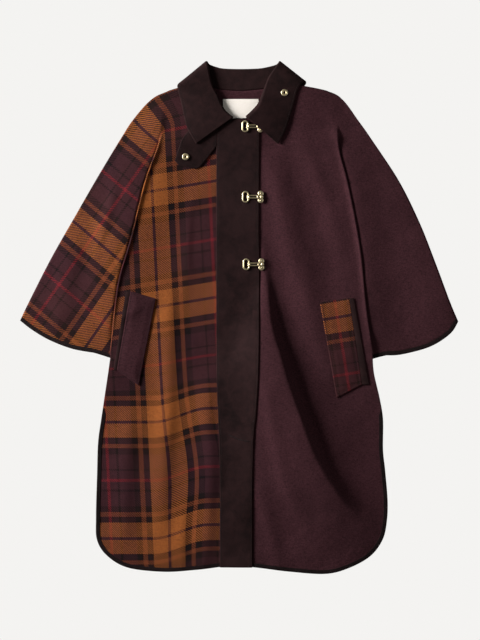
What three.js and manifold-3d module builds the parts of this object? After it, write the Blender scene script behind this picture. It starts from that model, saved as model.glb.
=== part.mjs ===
// A wide wool cape-coat laid flat on its back: one plaid front, one plain front, each cut in one with
// its batwing sleeve, a plain back, and a corduroy collar, placket and throat tab with brass clasps.
// Millimetres. X runs to the picture's right, Y towards the collar, Z up from the surface it lies on.
import * as THREE from "three";
import Module from "manifold-3d";

// Driving sizes
const CLOTH = 2.4; // wool of the panels
const CORD = 2.2; // corduroy of the collar, placket, tab and welts
const FACING = 1.4; // dark strip in a pocket's opening
const BOUND = 2.8; // folded binding round the raw edges
const BIND_WIDTH = 7;
const GAP = 0.3; // between pieces that touch
const LAYER_GAP = 0.55; // between the back and the fronts, which clear the back's binding too
const SEAM_GAP = 2.2; // at the neck seam, hidden by the collar
const BACK_MID = CLOTH / 2; // mid-height of the back panel's wall
const FRONT_MID = BACK_MID + CLOTH + LAYER_GAP;
const NECK_LIFT = { back: 2.7, front: 3.8 }; // the collar's back fall lies below the neck
const INNER_EDGE = { right: -30, left: -26 }; // x of the fronts' inner edges, below the placket

// The underarm fold: the body panel rolls under at its crest, runs back, and rolls out into the sleeve.
const FOLD = { radius: 1.8, depth: 22, turn: Math.PI - 0.035, fade: 110, softness: 60, least: 0.8,
  turnedAt: 0.5, deepensFrom: 0.4 };
const FOLD_STEPS = { bend: 4, flat: 1 };
const ROWS = { upper: 18, lower: 12, neck: 4, backUpper: 9 };
const COLUMNS = { body: 16, sleeve: 6, back: 16 };
const VENT_ROW = 3; // row of the lower body where the side vent and its binding begin
const NECK_PART = 0.7; // share of the left front's neck edge that follows the collar's seam
const BACK_TOP_PARTS = { right: 0.2, neck: 0.5, left: 0.3 }; // shares of the back's top edge
const ROLL_SHARE = 0.3; // share of the collar's fall that still lies at the roll's level

// Outlines of the wearer's right half (picture left) and left half (picture right), each row x, y.
const HALVES = {
  right: {
    side: -1,
    apex: 369, // y where the underarm fold begins
    crest: [[-137, 441], [-144, 369], [-154, 337], [-181, 263], [-207, 158], [-230, 80], [-240, 19],
      [-246, -39], [-250, -74]],
    overarm: [[-172, 423], [-207, 384], [-232, 345], [-279, 267], [-324, 189], [-368, 111],
      [-408, 33]],
    cuff: [[-283, -70], [-326, -62], [-370, -45], [-404, -25], [-427, -7]],
    hem: [[-250, -74], [-254, -103], [-263, -162], [-269, -201], [-275, -245], [-277, -308],
      [-279, -390], [-277, -435], [-257, -466], [-217, -489], [-150, -497], [-90, -494], [-30, -487]],
  },
  left: {
    side: 1,
    apex: 378,
    crest: [[172, 441], [187, 378], [193, 326], [209, 263], [224, 191], [236, 117], [246, 16],
      [260, -74]],
    overarm: [[203, 423], [232, 384], [259, 345], [310, 267], [349, 189], [380, 111], [409, 33]],
    cuff: [[287, -75], [318, -73], [372, -58], [411, -33], [427, -9]],
    hem: [[260, -74], [263, -110], [275, -162], [281, -201], [281, -259], [285, -298], [290, -360],
      [288, -400], [279, -435], [256, -466], [215, -489], [168, -501], [100, -497], [25, -488],
      [-26, -487]],
  },
};
const HEM_CORNER = { right: 0.66, left: 0.62 }; // share of the hem outline before its round corner
const SIDE_END = -435; // y at which the side edges turn into the hem's corners
const NECK_RISE = { from: 320, to: 388, near: 128, far: 215 }; // where the fronts rise to the neck: y, and x
const RISE_FADE = 160; // length below the underarm over which the crest's rise dies out

// Largest soft folds of the fronts, as rows of x, y, height, and width on the left and on the right.
const RIDGES = [
  [[51, 100, 0, 60, 20], [54, 50, 2, 66, 20], [58, 10, 5.5, 76, 20], [66, -35, 10.5, 90, 20],
    [75, -64, 14.5, 100, 22], [92, -123, 18, 110, 22], [119, -201, 19.5, 115, 22], [149, -279, 18.5, 112, 22],
    [197, -357, 14.5, 86, 24], [240, -396, 9.5, 60, 26], [278, -416, 4, 44, 28]],
  [[64, -10, 0, 40, 60], [90, -100, 2.5, 50, 80], [122, -201, 4.5, 60, 92], [152, -279, 5, 70, 96],
    [182, -357, 4.5, 70, 100], [198, -450, 3.5, 80, 100]],
  [[72, 270, 2, 22, 28], [82, 228, 5, 22, 32], [105, 131, 6, 24, 34], [134, 33, 6, 26, 34],
    [164, -60, 4.5, 28, 34], [192, -150, 0, 28, 34]],
  [[190, 350, 3, 26, 38], [209, 263, 5, 28, 42], [236, 117, 5, 28, 42], [246, 16, 3, 28, 40],
    [256, -40, 0, 26, 40]],
  [[282, 300, 2, 44, 20], [346, 184, 5.5, 60, 24], [392, 60, 5.5, 66, 26], [408, -20, 4, 60, 30]],
  [[-66, -130, 0, 24, 22], [-62, -300, 3.5, 24, 22], [-68, -440, 2.5, 24, 22]],
  [[-136, 60, 0, 22, 15], [-136, -150, 4.5, 22, 16], [-150, -350, 3, 20, 16], [-154, -440, 0, 20, 16]],
  [[-215, -170, 0, 22, 16], [-220, -300, 3.2, 22, 16], [-224, -440, 0, 22, 16]],
  [[-305, 190, 0, 26, 20], [-326, 110, 3.4, 28, 20], [-346, 10, 3, 28, 20]],
  [[-176, 337, 2, 36, 20], [-204, 263, 4, 40, 20], [-230, 158, 4, 40, 20], [-256, 60, 3, 40, 20],
    [-276, -30, 0, 40, 20]],
];

// The collar band, station by station from the right front end, round the back, to the left front end.
// share: 1 lies on the fronts, 0 behind the back panel. seam, roll and outer are x, y. lift is how far
// the fall stands off the stand at the roll and at the outer edge. out is its sideways bulge.
const COLLAR = [
  { share: 1, seam: [-18, 379], roll: [-12, 389], outer: [-83, 338], lift: [7.5, 6], out: 0 },
  { share: 1, seam: [-50, 392], roll: [-29, 404], outer: [-101, 371], lift: [6.4, 6], out: 0 },
  { share: 1, seam: [-70, 415], roll: [-43, 433], outer: [-111, 415], lift: [5, 3.6], out: 0 },
  { share: 1, seam: [-75, 438], roll: [-53, 452], outer: [-118, 443], lift: [4.2, 3.2], out: 0 },
  { share: 0.95, seam: [-74, 452], roll: [-60, 485], outer: [-119, 451], lift: [3.6, 2.8], out: -1 },
  { share: 0.5, seam: [-73, 460], roll: [-62, 498], outer: [-115, 456], lift: [0, 0], out: -3 },
  { share: 0.05, seam: [-67, 455], roll: [-57, 492], outer: [-112, 449], lift: [-2.6, -2.6], out: -1 },
  { share: 0, seam: [-50, 447], roll: [-44, 487], outer: [-80, 428], lift: [-2.6, -2.6], out: 0 },
  { share: 0, seam: [-30, 443], roll: [-30, 484], outer: [-45, 415], lift: [-2.6, -2.6], out: 0 },
  { share: 0, seam: [2, 441], roll: [2, 483], outer: [2, 411], lift: [-2.6, -2.6], out: 0 },
  { share: 0, seam: [34, 443], roll: [37, 484], outer: [50, 415], lift: [-2.6, -2.6], out: 0 },
  { share: 0, seam: [58, 447], roll: [56, 487], outer: [96, 428], lift: [-2.6, -2.6], out: 0 },
  { share: 0.05, seam: [75, 455], roll: [73, 492], outer: [128, 453], lift: [-2.6, -2.6], out: 1 },
  { share: 0.5, seam: [81, 460], roll: [78, 498], outer: [127, 461], lift: [0, 0], out: 3 },
  { share: 0.95, seam: [80, 452], roll: [71, 486], outer: [121, 455], lift: [3.6, 2.8], out: 1 },
  { share: 1, seam: [76, 438], roll: [58, 466], outer: [113, 440], lift: [4.6, 3.2], out: 0 },
  { share: 1, seam: [66, 418], roll: [49, 443], outer: [103, 404], lift: [7.5, 3.6], out: 0 },
  { share: 1, seam: [45, 395], roll: [36, 413], outer: [90, 364], lift: [12.6, 5], out: 0 },
  { share: 1, seam: [20, 381], roll: [14, 390], outer: [76, 338], lift: [14, 4.4], out: 0 },
];
const COLLAR_STEPS = { around: 38, stand: 2, roll: 4, fall: 5 };
const NECK_POINT = { right: [-78, 457], left: [86, 457] };

// Flat pieces as corner points, x, y.
const PLACKET = {
  left: [[-43, 364], [-43, -74], [-39.5, -200], [-36.5, -294], [-36.5, -487.5]],
  right: [[39, 366], [38, 183], [39, 92], [35, -170], [27.5, -238], [25.5, -487.5]],
  top: [[-43, 364], [-20, 380], [-4, 384], [12, 384], [39, 366]],
};
const TAB = {
  top: [[-76, 394], [-43.6, 368]],
  left: [[-76, 394], [-111, 345], [-124, 305]],
  right: [[-43.6, 368], [-43.6, 334], [-76, 293]],
  bottom: [[-124, 305], [-117, 296], [-84, 289.5], [-76, 293]],
};
const WELTS = {
  right: { corners: [[-210.5, 49], [-163, 35], [-196, -132], [-237, -103]], opening: [-9, -6.5] },
  left: { corners: [[213.5, 36], [158.5, 28], [191, -156], [238.5, -131]], opening: [9.5, 14] },
};
const OVER = 0.5; // what lies on a front clears its curved surface by this
const LABEL = { x: [-31, 38], y: [388, 424.5], thickness: 0.8 };

// Clasps: centres of the three rings on the placket, and the sizes that the three share.
const CLASP_CENTRES = [[12, 371], [12.7, 234], [14.2, 102.5]];
const RING = { length: 23.8, width: 14.6, wire: 3.3, thick: 2.2 };
const HOOK = { bar: 2.4, barGap: 2.6, reach: 26, thick: 1.5, lip: 2, overlap: 3 };
const PLATE = { x: 29.5, thick: 1.5, waist: 4, waistRise: 0.7, domeRadius: 3.4, domeX: 31.5, domeHeight: 1.5,
  domeRise: 0.4, postRadius: 2 };
const LOBE = { radius: 5.6, offset: 6.4, rise: 0.9 };
const CLASP_PROBES = [[-5, -11], [0, 11], [6, 8], [22, -11], [22, 0]]; // where a clasp meets what it lies on
const EYELET_PROBES = [[0, 0], [-5, -4], [-5, 4], [5, -4], [5, 4]];
const EYELET = { hole: 2.1, barrel: 3.1, flange: 6.8, cut: 3.5 };
const EYELET_PLACES = { tab: [-104, 312], collar: [88.5, 436.5] };

const TINY = 1e-9;

const wasm = await Module();
wasm.setup();

// Plane curves: every curve is a function of a share from 0 to 1.
const vector = ([x, y]) => new THREE.Vector2(x, y);

function spline(points) {
  const curve = new THREE.SplineCurve(points.map(vector));
  return (share) => curve.getPointAt(THREE.MathUtils.clamp(share, 0, 1));
}

function polyline(points) {
  const path = new THREE.CurvePath();
  for (let i = 1; i < points.length; i++)
    path.add(new THREE.LineCurve(vector(points[i - 1]), vector(points[i])));
  return (share) => path.getPointAt(THREE.MathUtils.clamp(share, 0, 1));
}

// Joins curves end to end, each over its own part of the share.
function chain(...parts) {
  return (share) => {
    let from = 0;
    for (const [i, { curve, part }] of parts.entries()) {
      if (share <= from + part + TINY || i === parts.length - 1) return curve((share - from) / part);
      from += part;
    }
  };
}

const part = (curve, from, to) => (share) => curve(from + (to - from) * share);

// Moves a curve sideways, to the left of its direction for a positive amount.
function inset(curve, amount) {
  return (share) => {
    const step = 0.004;
    const along = curve(Math.min(share + step, 1)).clone().sub(curve(Math.max(share - step, 0))).normalize();
    const point = curve(share).clone();
    const moved = typeof amount === "function" ? amount(share, point) : amount;
    return point.add(new THREE.Vector2(-along.y, along.x).multiplyScalar(moved));
  };
}

// A Coons patch between four curves. across runs along top and bottom, down along left and right.
function coons(top, bottom, left, right) {
  return (across, down) => {
    const point = new THREE.Vector2();
    point.addScaledVector(top(across), 1 - down).addScaledVector(bottom(across), down);
    point.addScaledVector(left(down), 1 - across).addScaledVector(right(down), across);
    point.addScaledVector(top(0), -(1 - across) * (1 - down));
    point.addScaledVector(top(1), -across * (1 - down));
    point.addScaledVector(bottom(0), -(1 - across) * down);
    point.addScaledVector(bottom(1), -across * down);
    return point;
  };
}

// Heights
const smooth = (value, from, to) => THREE.MathUtils.smoothstep((value - from) / (to - from), 0, 1);

// x of a table of points at a height y, straight between its rows.
function acrossAt(points, y) {
  for (let i = 1; i < points.length; i++) {
    const [x0, y0] = points[i - 1];
    const [x1, y1] = points[i];
    if (y <= y0 && y >= y1) return x0 + ((x1 - x0) * (y0 - y)) / (y0 - y1 || 1);
  }
  return y > points[0][1] ? points[0][0] : points.at(-1)[0];
}

const neckShare = (x, y) =>
  smooth(y, NECK_RISE.from, NECK_RISE.to) * (1 - smooth(Math.abs(x), NECK_RISE.near, NECK_RISE.far));

// Height of one fold at x, y: its crest's height there, falling away across its width on that side.
function foldHeight(x, y, rows) {
  let nearest = { distance: Infinity, height: 0, width: 1 };
  for (let i = 1; i < rows.length; i++) {
    const [ax, ay, ...from] = rows[i - 1];
    const [bx, by, ...to] = rows[i];
    const [dx, dy] = [bx - ax, by - ay];
    const share = THREE.MathUtils.clamp(((x - ax) * dx + (y - ay) * dy) / (dx ** 2 + dy ** 2), 0, 1);
    const [px, py] = [x - ax - share * dx, y - ay - share * dy];
    const distance = Math.hypot(px, py);
    if (distance >= nearest.distance) continue;
    const [height, left, right] = from.map((value, k) => value + (to[k] - value) * share);
    nearest = { distance, height, width: dx * py - dy * px > 0 ? right : left };
  }
  return nearest.height * Math.exp(-((nearest.distance / nearest.width) ** 2));
}

const ridgeHeight = (x, y) => RIDGES.reduce((height, rows) => height + foldHeight(x, y, rows), 0);

const backMid = (x, y) => BACK_MID + NECK_LIFT.back * neckShare(x, y);
const lowMid = (x, y) => FRONT_MID + NECK_LIFT.front * neckShare(x, y) + ridgeHeight(x, y);

// The underarm fold at a height y of its crest: the path of its section as offsets outwards and down
// from the crest, and the height that its three layers stack up to. It grows from flat at the apex.
function foldAt(half, y) {
  const made = THREE.MathUtils.clamp((half.apex - y) / FOLD.fade, 0, 1);
  const turn = (FOLD.turn * smooth(made, 0, FOLD.turnedAt)) / FOLD_STEPS.bend;
  const bend = (FOLD.radius * FOLD.turn) / FOLD_STEPS.bend;
  const flat = FOLD.least + FOLD.depth * smooth(made, FOLD.deepensFrom, 1);
  const path = [[0, 0]];
  let angle = 0;
  const advance = (length, by) => {
    const [along, drop] = path.at(-1);
    angle += by / 2;
    path.push([along + length * Math.cos(angle), drop + length * Math.sin(angle)]);
    angle += by / 2;
  };
  for (let i = 0; i < FOLD_STEPS.bend; i++) advance(bend, turn);
  for (let i = 0; i < FOLD_STEPS.flat; i++) advance(flat / FOLD_STEPS.flat, 0);
  for (let i = 0; i < FOLD_STEPS.bend; i++) advance(bend, -turn);
  return { path, rise: path.at(-1)[1] };
}

// Mid-height of a front's wall over the body, which rises to the crest of the underarm fold.
function bodyMid(half, x, y) {
  const underarm = half.hem[0][1];
  const edge = y > underarm ? acrossAt(half.crest, y) : acrossAt(half.hem, Math.max(y, SIDE_END));
  const rise = foldAt(half, Math.max(y, underarm)).rise * smooth(y, underarm - RISE_FADE, underarm);
  const inward = Math.max(0, (edge - x) * half.side);
  return lowMid(x, y) + rise * Math.exp(-((inward / FOLD.softness) ** 2));
}

const halfAt = (x) => (x < 0 ? HALVES.right : HALVES.left);
const frontMid = (x, y) => bodyMid(halfAt(x), x, y);

// Mid-surfaces and walls

// A mid-surface that welds the points of its patches, so that they join without an edge between them.
class Surface {
  constructor() {
    this.points = [];
    this.faces = [];
    this.known = new Map();
  }

  point(x, y, z) {
    const key = [x, y, z].map((value) => Math.round(value * 500)).join(" ");
    if (!this.known.has(key)) {
      this.known.set(key, this.points.length);
      this.points.push(new THREE.Vector3(x, y, z));
    }
    return this.known.get(key);
  }

  face(a, b, c) {
    if (a !== b && b !== c && c !== a) this.faces.push([a, b, c]);
  }

  // rows of [x, y, z] points; flip turns the faces over.
  grid(rows, flip = false) {
    const index = rows.map((row) => row.map((point) => this.point(...point)));
    for (let i = 1; i < index.length; i++)
      for (let j = 1; j < index[i].length; j++) {
        const [a, b, c, d] = [index[i - 1][j - 1], index[i - 1][j], index[i][j], index[i][j - 1]];
        if (flip) {
          this.face(a, b, c);
          this.face(a, c, d);
        } else {
          this.face(a, c, b);
          this.face(a, d, c);
        }
      }
  }

  // Thickens the mid-surface to both sides and closes it along its free edges.
  wall(thickness) {
    const normals = this.points.map(() => new THREE.Vector3());
    for (const face of this.faces) {
      const [a, b, c] = face.map((index) => this.points[index]);
      const normal = b.clone().sub(a).cross(c.clone().sub(a));
      for (const index of face) normals[index].add(normal);
    }
    const count = this.points.length;
    const positions = [];
    for (const side of [1, -1])
      this.points.forEach((point, i) => {
        const moved = point.clone().addScaledVector(normals[i].clone().normalize(), (side * thickness) / 2);
        positions.push(...moved.toArray());
      });
    const index = [];
    const open = new Map();
    for (const [a, b, c] of this.faces) {
      index.push(a, b, c, a + count, c + count, b + count);
      for (const [from, to] of [[a, b], [b, c], [c, a]]) {
        if (!open.delete(to + " " + from)) open.set(from + " " + to, [from, to]);
      }
    }
    for (const [from, to] of open.values())
      index.push(from, from + count, to + count, from, to + count, to);
    return geometryOf(positions, index);
  }
}

function geometryOf(positions, index) {
  const geometry = new THREE.BufferGeometry();
  geometry.setAttribute("position", new THREE.Float32BufferAttribute(positions, 3));
  geometry.setIndex(index);
  geometry.computeVertexNormals();
  return geometry;
}

const shares = (count, bend = (share) => share) =>
  Array.from({ length: count + 1 }, (_, i) => bend(i / count));

function patchRows(patch, rowShares, columnShares, height) {
  return rowShares.map((down) =>
    columnShares.map((across) => {
      const { x, y } = patch(across, down);
      return [x, y, height(x, y)];
    }),
  );
}

// Panels

const BODY_COLUMNS = shares(COLUMNS.body, (share) => 1 - (1 - share) ** 1.15);

// The edge from the underarm down the side, round the hem's corner to the placket, inside its binding,
// which begins at the vent.
const ventShare = (name) => (HEM_CORNER[name] * VENT_ROW) / ROWS.lower;

function hemInside(name) {
  const half = HALVES[name];
  const start = ventShare(name);
  const before = start * (1 - 1 / VENT_ROW);
  const amount = (share) => -half.side * (BIND_WIDTH + GAP) * smooth(share, before, start);
  return inset(spline(half.hem), amount);
}

// Where the front's sleeve begins on the last row, past the underarm fold.
function sleeveStart(half) {
  const [x, y] = half.hem[0];
  const outward = vector(half.overarm.at(-1)).sub(new THREE.Vector2(x, y)).normalize();
  const along = foldAt(half, y).path.at(-1)[0];
  return [x + outward.x * along, y + outward.y * along];
}

function neckline(name) {
  const half = HALVES[name];
  const seams = COLLAR.filter(({ share, seam }) => share === 1 && seam[0] * half.side > 0 && seam[1] > 391);
  const ordered = seams.map(({ seam }) => seam).sort((a, b) => b[1] - a[1]);
  const last = name === "right" ? [INNER_EDGE.right, 384] : [20, 380];
  return [NECK_POINT[name], ...ordered, last];
}

function frontPanel(name) {
  const half = HALVES[name];
  const flip = half.side < 0;
  const surface = new Surface();
  const inner = INNER_EDGE[name];
  const underarm = half.hem[0];
  const neck = neckline(name);
  const corner = neck.at(-1);
  const crest = spline(half.crest);
  const innerTop = name === "right" ? corner : [inner, 377];
  const neckShareOfRows = ROWS.neck / ROWS.upper;
  const neckCurve = name === "right" ? spline(neck) : chain(
    { curve: spline(neck), part: NECK_PART }, { curve: polyline([corner, innerTop]), part: 1 - NECK_PART });
  const straight = polyline([innerTop, [inner, underarm[1]]]); // with its rows closer near the neck
  const innerEdge = chain(
    { curve: neckCurve, part: neckShareOfRows },
    { curve: (share) => straight(share ** 1.25), part: 1 - neckShareOfRows });
  const upper = coons(
    polyline([neck[0], half.crest[0]]), polyline([[inner, underarm[1]], underarm]), innerEdge, crest);
  const height = (x, y) => bodyMid(half, x, y);
  const upperRows = patchRows(upper, shares(ROWS.upper), BODY_COLUMNS, height);

  // the hem's corner is shared by the side and the bottom edges
  const edge = hemInside(name);
  const split = HEM_CORNER[name];
  const bottomLeft = edge(1);
  const lower = coons(
    polyline([[inner, underarm[1]], underarm]), (share) => edge(1 + (split - 1) * share),
    polyline([[inner, underarm[1]], [bottomLeft.x, bottomLeft.y]]), part(edge, 0, split));
  const lowerRows = patchRows(lower, shares(ROWS.lower), BODY_COLUMNS, height);
  lowerRows[0] = upperRows.at(-1);
  surface.grid(upperRows, flip);
  surface.grid(lowerRows, flip);

  // the underarm fold, then the sleeve
  const cuff = cuffInside(half, sleeveStart(half));
  const overarm = spline([...half.overarm, cuff(1).toArray()]);
  const stripRows = [];
  const ends = [];
  for (const [i, down] of shares(ROWS.upper).entries()) {
    const [x, y, z] = upperRows[i].at(-1);
    const target = i === ROWS.upper ? vector(half.overarm.at(-1)) : overarm(down);
    const outward = target.clone().sub(new THREE.Vector2(x, y)).normalize();
    const fold = foldAt(half, y);
    const row = fold.path.map(([along, drop]) => {
      const [px, py] = [x + outward.x * along, y + outward.y * along];
      return [px, py, lowMid(px, py) + fold.rise - drop];
    });
    row[0] = [x, y, z];
    stripRows.push(row);
    ends.push(row.at(-1));
  }
  surface.grid(stripRows, flip);
  const stripEnd = (share) => {
    const at = share * ROWS.upper;
    const from = ends[Math.floor(at)];
    const to = ends[Math.min(Math.floor(at) + 1, ROWS.upper)];
    const rest = at - Math.floor(at);
    return new THREE.Vector2(from[0] + (to[0] - from[0]) * rest, from[1] + (to[1] - from[1]) * rest);
  };
  const sleeve = coons(
    polyline([ends[0], half.overarm[0]]), cuff, stripEnd, overarm);
  const sleeveRows = patchRows(sleeve, shares(ROWS.upper), shares(COLUMNS.sleeve), lowMid);
  sleeveRows.forEach((row, i) => (row[0] = ends[i]));
  surface.grid(sleeveRows, flip);
  return surface.wall(CLOTH);
}

const cuffOutside = (half, start) => spline([[start[0], start[1]], ...half.cuff]);

function cuffInside(half, start) {
  const amount = (share) => half.side * (BIND_WIDTH + GAP) * smooth(share, 0, 1 / COLUMNS.sleeve);
  return inset(cuffOutside(half, start), amount);
}

function backPanel() {
  const surface = new Surface();
  const { right, left } = HALVES;
  const backNeck = COLLAR.filter(({ share }) => share < 0.01).map(({ seam }) => seam);
  const top = chain(
    { curve: polyline([right.crest[0], NECK_POINT.right]), part: BACK_TOP_PARTS.right },
    { curve: spline([NECK_POINT.right, ...backNeck, NECK_POINT.left]), part: BACK_TOP_PARTS.neck },
    { curve: polyline([NECK_POINT.left, left.crest[0]]), part: BACK_TOP_PARTS.left });
  const middle = polyline([right.hem[0], left.hem[0]]);
  const [rightEdge, leftEdge] = [hemInside("right"), hemInside("left")];
  const bottom = chain(
    { curve: (share) => rightEdge(HEM_CORNER.right + (1 - HEM_CORNER.right) * share), part: 0.5 },
    { curve: (share) => leftEdge(1 + (HEM_CORNER.left - 1) * share), part: 0.5 });
  const columns = shares(COLUMNS.back);
  const upper = coons(top, middle, spline(right.crest), spline(left.crest));
  const lower = coons(
    middle, bottom, part(rightEdge, 0, HEM_CORNER.right), part(leftEdge, 0, HEM_CORNER.left));
  surface.grid(patchRows(upper, shares(ROWS.backUpper), columns, backMid));
  surface.grid(patchRows(lower, shares(ROWS.lower), columns, backMid));
  for (const half of [right, left]) {
    const cuff = cuffInside(half, half.hem[0]);
    const overarm = spline([...half.overarm, cuff(1).toArray()]);
    const sleeve = coons(
      polyline([half.crest[0], half.overarm[0]]), cuff, spline(half.crest), overarm);
    const rows = patchRows(sleeve, shares(ROWS.backUpper), shares(COLUMNS.sleeve), backMid);
    surface.grid(rows, half.side < 0);
  }
  return surface.wall(CLOTH);
}

// Bindings

// A strip between an edge and the same edge moved inwards by the binding's width, at the shares given.
function binding(outer, inner, at, mid) {
  const surface = new Surface();
  surface.grid(at.map((share) => [outer(share), inner(share)].map(({ x, y }) => [x, y, mid(x, y)])));
  return outwards(surface.wall(BOUND));
}

// From the vent down the side and along the hem, with the panel's own rows and columns. On a front it
// stops beside the placket.
function hemBinding(name, mid, columns, stop) {
  const half = HALVES[name];
  const outer = spline(half.hem);
  const corner = HEM_CORNER[name];
  const sideShares = shares(ROWS.lower).slice(VENT_ROW).map((share) => share * corner);
  const hemShares = columns.map((share) => 1 + (corner - 1) * share).reverse().slice(1);
  const all = [...sideShares, ...hemShares];
  const kept = all.filter((share) => (outer(share).x - stop) * half.side > 0);
  if (kept.length < all.length) kept.push(shareAtX(outer, stop, corner));
  return binding(outer, inset(outer, -half.side * BIND_WIDTH), kept, mid);
}

// The share, past a first one, at which a curve comes to a place along X.
function shareAtX(curve, x, from) {
  const off = (share) => Math.abs(curve(share).x - x);
  const steps = shares(800).filter((share) => share >= from);
  return steps.reduce((best, share) => (off(share) < off(best) ? share : best));
}

function cuffBinding(half, start, mid) {
  const outer = cuffOutside(half, start);
  return binding(outer, inset(outer, half.side * BIND_WIDTH), shares(COLUMNS.sleeve).slice(1), mid);
}

// Turns a closed geometry so that its faces point out.
function outwards(geometry) {
  const { array } = geometry.getAttribute("position");
  const index = geometry.index.array;
  let volume = 0;
  const corner = (i) => new THREE.Vector3().fromArray(array, index[i] * 3);
  for (let i = 0; i < index.length; i += 3) volume += corner(i).dot(corner(i + 1).cross(corner(i + 2)));
  if (volume < 0)
    for (let i = 0; i < index.length; i += 3) [index[i], index[i + 1]] = [index[i + 1], index[i]];
  geometry.computeVertexNormals();
  return geometry;
}

// Collar

// The stations' values at a share of the way round, as one smooth curve through them.
function collarStation(share) {
  const values = ({ share: front, seam, roll, outer, lift, out }) =>
    [front, ...seam, ...roll, ...outer, ...lift, out];
  const at = share * (COLLAR.length - 1);
  const from = Math.min(Math.floor(at), COLLAR.length - 2);
  const rest = at - from;
  const pick = (i) => values(COLLAR[THREE.MathUtils.clamp(i, 0, COLLAR.length - 1)]);
  const [before, start, end, after] = [-1, 0, 1, 2].map((step) => pick(from + step));
  return start.map((value, i) => {
    const [v0, v1] = [(end[i] - before[i]) / 2, (after[i] - value) / 2];
    return (2 * value - 2 * end[i] + v0 + v1) * rest ** 3
      + (-3 * value + 3 * end[i] - 2 * v0 - v1) * rest ** 2 + v0 * rest + value;
  });
}

function collar() {
  const surface = new Surface();
  const rows = shares(COLLAR_STEPS.around).map((share) => {
    const [front, sx, sy, rx, ry, ox, oy, liftRoll, liftOuter, out] = collarStation(share);
    const seam = new THREE.Vector2(sx, sy);
    const roll = new THREE.Vector2(rx, ry);
    const outer = new THREE.Vector2(ox, oy);
    const outward = roll.clone().sub(seam.clone().add(outer).multiplyScalar(0.5)).normalize();
    const level = (x, y) => front * frontMid(x, y) + (1 - front) * backMid(x, y);
    const radius = Math.hypot(liftRoll, out) / 2;
    const turned = roll.clone().addScaledVector(outward, -radius);
    seam.addScaledVector(turned.clone().sub(seam).normalize(), SEAM_GAP);
    const row = [];
    for (const s of shares(COLLAR_STEPS.stand).slice(0, -1)) {
      const { x, y } = seam.clone().lerp(turned, s);
      row.push([x, y, level(x, y)]);
    }
    const rollLevel = level(turned.x, turned.y);
    for (const s of shares(COLLAR_STEPS.roll)) {
      const angle = s * Math.PI;
      const over = (1 - Math.cos(angle)) / 2;
      const { x, y } = turned.clone().addScaledVector(outward, radius * Math.sin(angle));
      row.push([x + out * over, y, rollLevel + liftRoll * over]);
    }
    for (const s of shares(COLLAR_STEPS.fall).slice(1)) {
      const { x, y } = turned.clone().lerp(outer, s);
      const lift = liftRoll + (liftOuter - liftRoll) * s;
      const ownLevel = rollLevel + (level(x, y) - rollLevel) * Math.min(s / ROLL_SHARE, 1);
      row.push([x + out * (1 - s), y, ownLevel + lift]);
    }
    return row;
  });
  surface.grid(rows);
  return outwards(surface.wall(CORD));
}

// Flat pieces that lie on the fronts

function flatPiece(patch, rows, columns, thickness, height) {
  const surface = new Surface();
  surface.grid(patchRows(patch, shares(rows), shares(columns), height));
  return outwards(surface.wall(thickness));
}

const onFront = (lift, thickness) => (x, y) => frontMid(x, y) + CLOTH / 2 + lift + thickness / 2;

function placket() {
  const { left, right, top } = PLACKET;
  const patch = coons(polyline(top), polyline([left.at(-1), right.at(-1)]), spline(left), spline(right));
  return flatPiece(patch, 36, 4, CORD, onFront(OVER, CORD));
}

function throatTab() {
  const patch = coons(polyline(TAB.top), polyline(TAB.bottom), polyline(TAB.left), polyline(TAB.right));
  return flatPiece(patch, 7, 5, CORD, onFront(OVER, CORD));
}

function pocketWelt({ corners }) {
  const [a, b, c, d] = corners;
  const patch = coons(polyline([a, b]), polyline([d, c]), polyline([a, d]), polyline([b, c]));
  return flatPiece(patch, 10, 3, CORD, onFront(OVER, CORD));
}

// The dark strip along a welt's opening edge, from the edge outwards by its widths at top and bottom.
function pocketFacing({ corners, opening }) {
  const side = Math.sign(opening[0]);
  const [a, , , d] = corners;
  const shift = ([x, y], by) => [x + by, y];
  const near = polyline([shift(a, side * GAP), shift(d, side * GAP)]);
  const far = polyline([shift(a, opening[0]), shift(d, opening[1])]);
  const patch = coons(
    polyline([shift(a, side * GAP), shift(a, opening[0])]),
    polyline([shift(d, side * GAP), shift(d, opening[1])]), near, far);
  const thickness = FACING;
  return flatPiece(patch, 10, 1, thickness, onFront(OVER, thickness));
}

function label() {
  const { x, y, thickness } = LABEL;
  const patch = coons(
    polyline([[x[0], y[1]], [x[1], y[1]]]), polyline([[x[0], y[0]], [x[1], y[0]]]),
    polyline([[x[0], y[1]], [x[0], y[0]]]), polyline([[x[1], y[1]], [x[1], y[0]]]));
  const height = (px, py) => backMid(px, py) + CLOTH / 2 + GAP + thickness / 2;
  return flatPiece(patch, 3, 4, thickness, height);
}

// Solid work with booleans

function solidOf(geometry) {
  const plain = geometry.index ? geometry : geometry.clone();
  const positions = plain.getAttribute("position").array;
  const index = plain.index ? plain.index.array : positions.map((_, i) => i).slice(0, positions.length / 3);
  const known = new Map();
  const kept = [];
  const renamed = Array.from(index, (i) => {
    const key = [0, 1, 2].map((axis) => Math.round(positions[3 * i + axis] * 1e4)).join(" ");
    if (!known.has(key)) {
      known.set(key, kept.length / 3);
      kept.push(positions[3 * i], positions[3 * i + 1], positions[3 * i + 2]);
    }
    return known.get(key);
  });
  const faces = [];
  for (let i = 0; i < renamed.length; i += 3) {
    const [a, b, c] = renamed.slice(i, i + 3);
    if (a !== b && b !== c && c !== a) faces.push(a, b, c);
  }
  return new wasm.Manifold(new wasm.Mesh({
    numProp: 3,
    vertProperties: new Float32Array(kept),
    triVerts: new Uint32Array(faces),
  }));
}

function geometryOfSolid(solid) {
  const { vertProperties, triVerts } = solid.getMesh();
  return geometryOf(Array.from(vertProperties), Array.from(triVerts));
}

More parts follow.
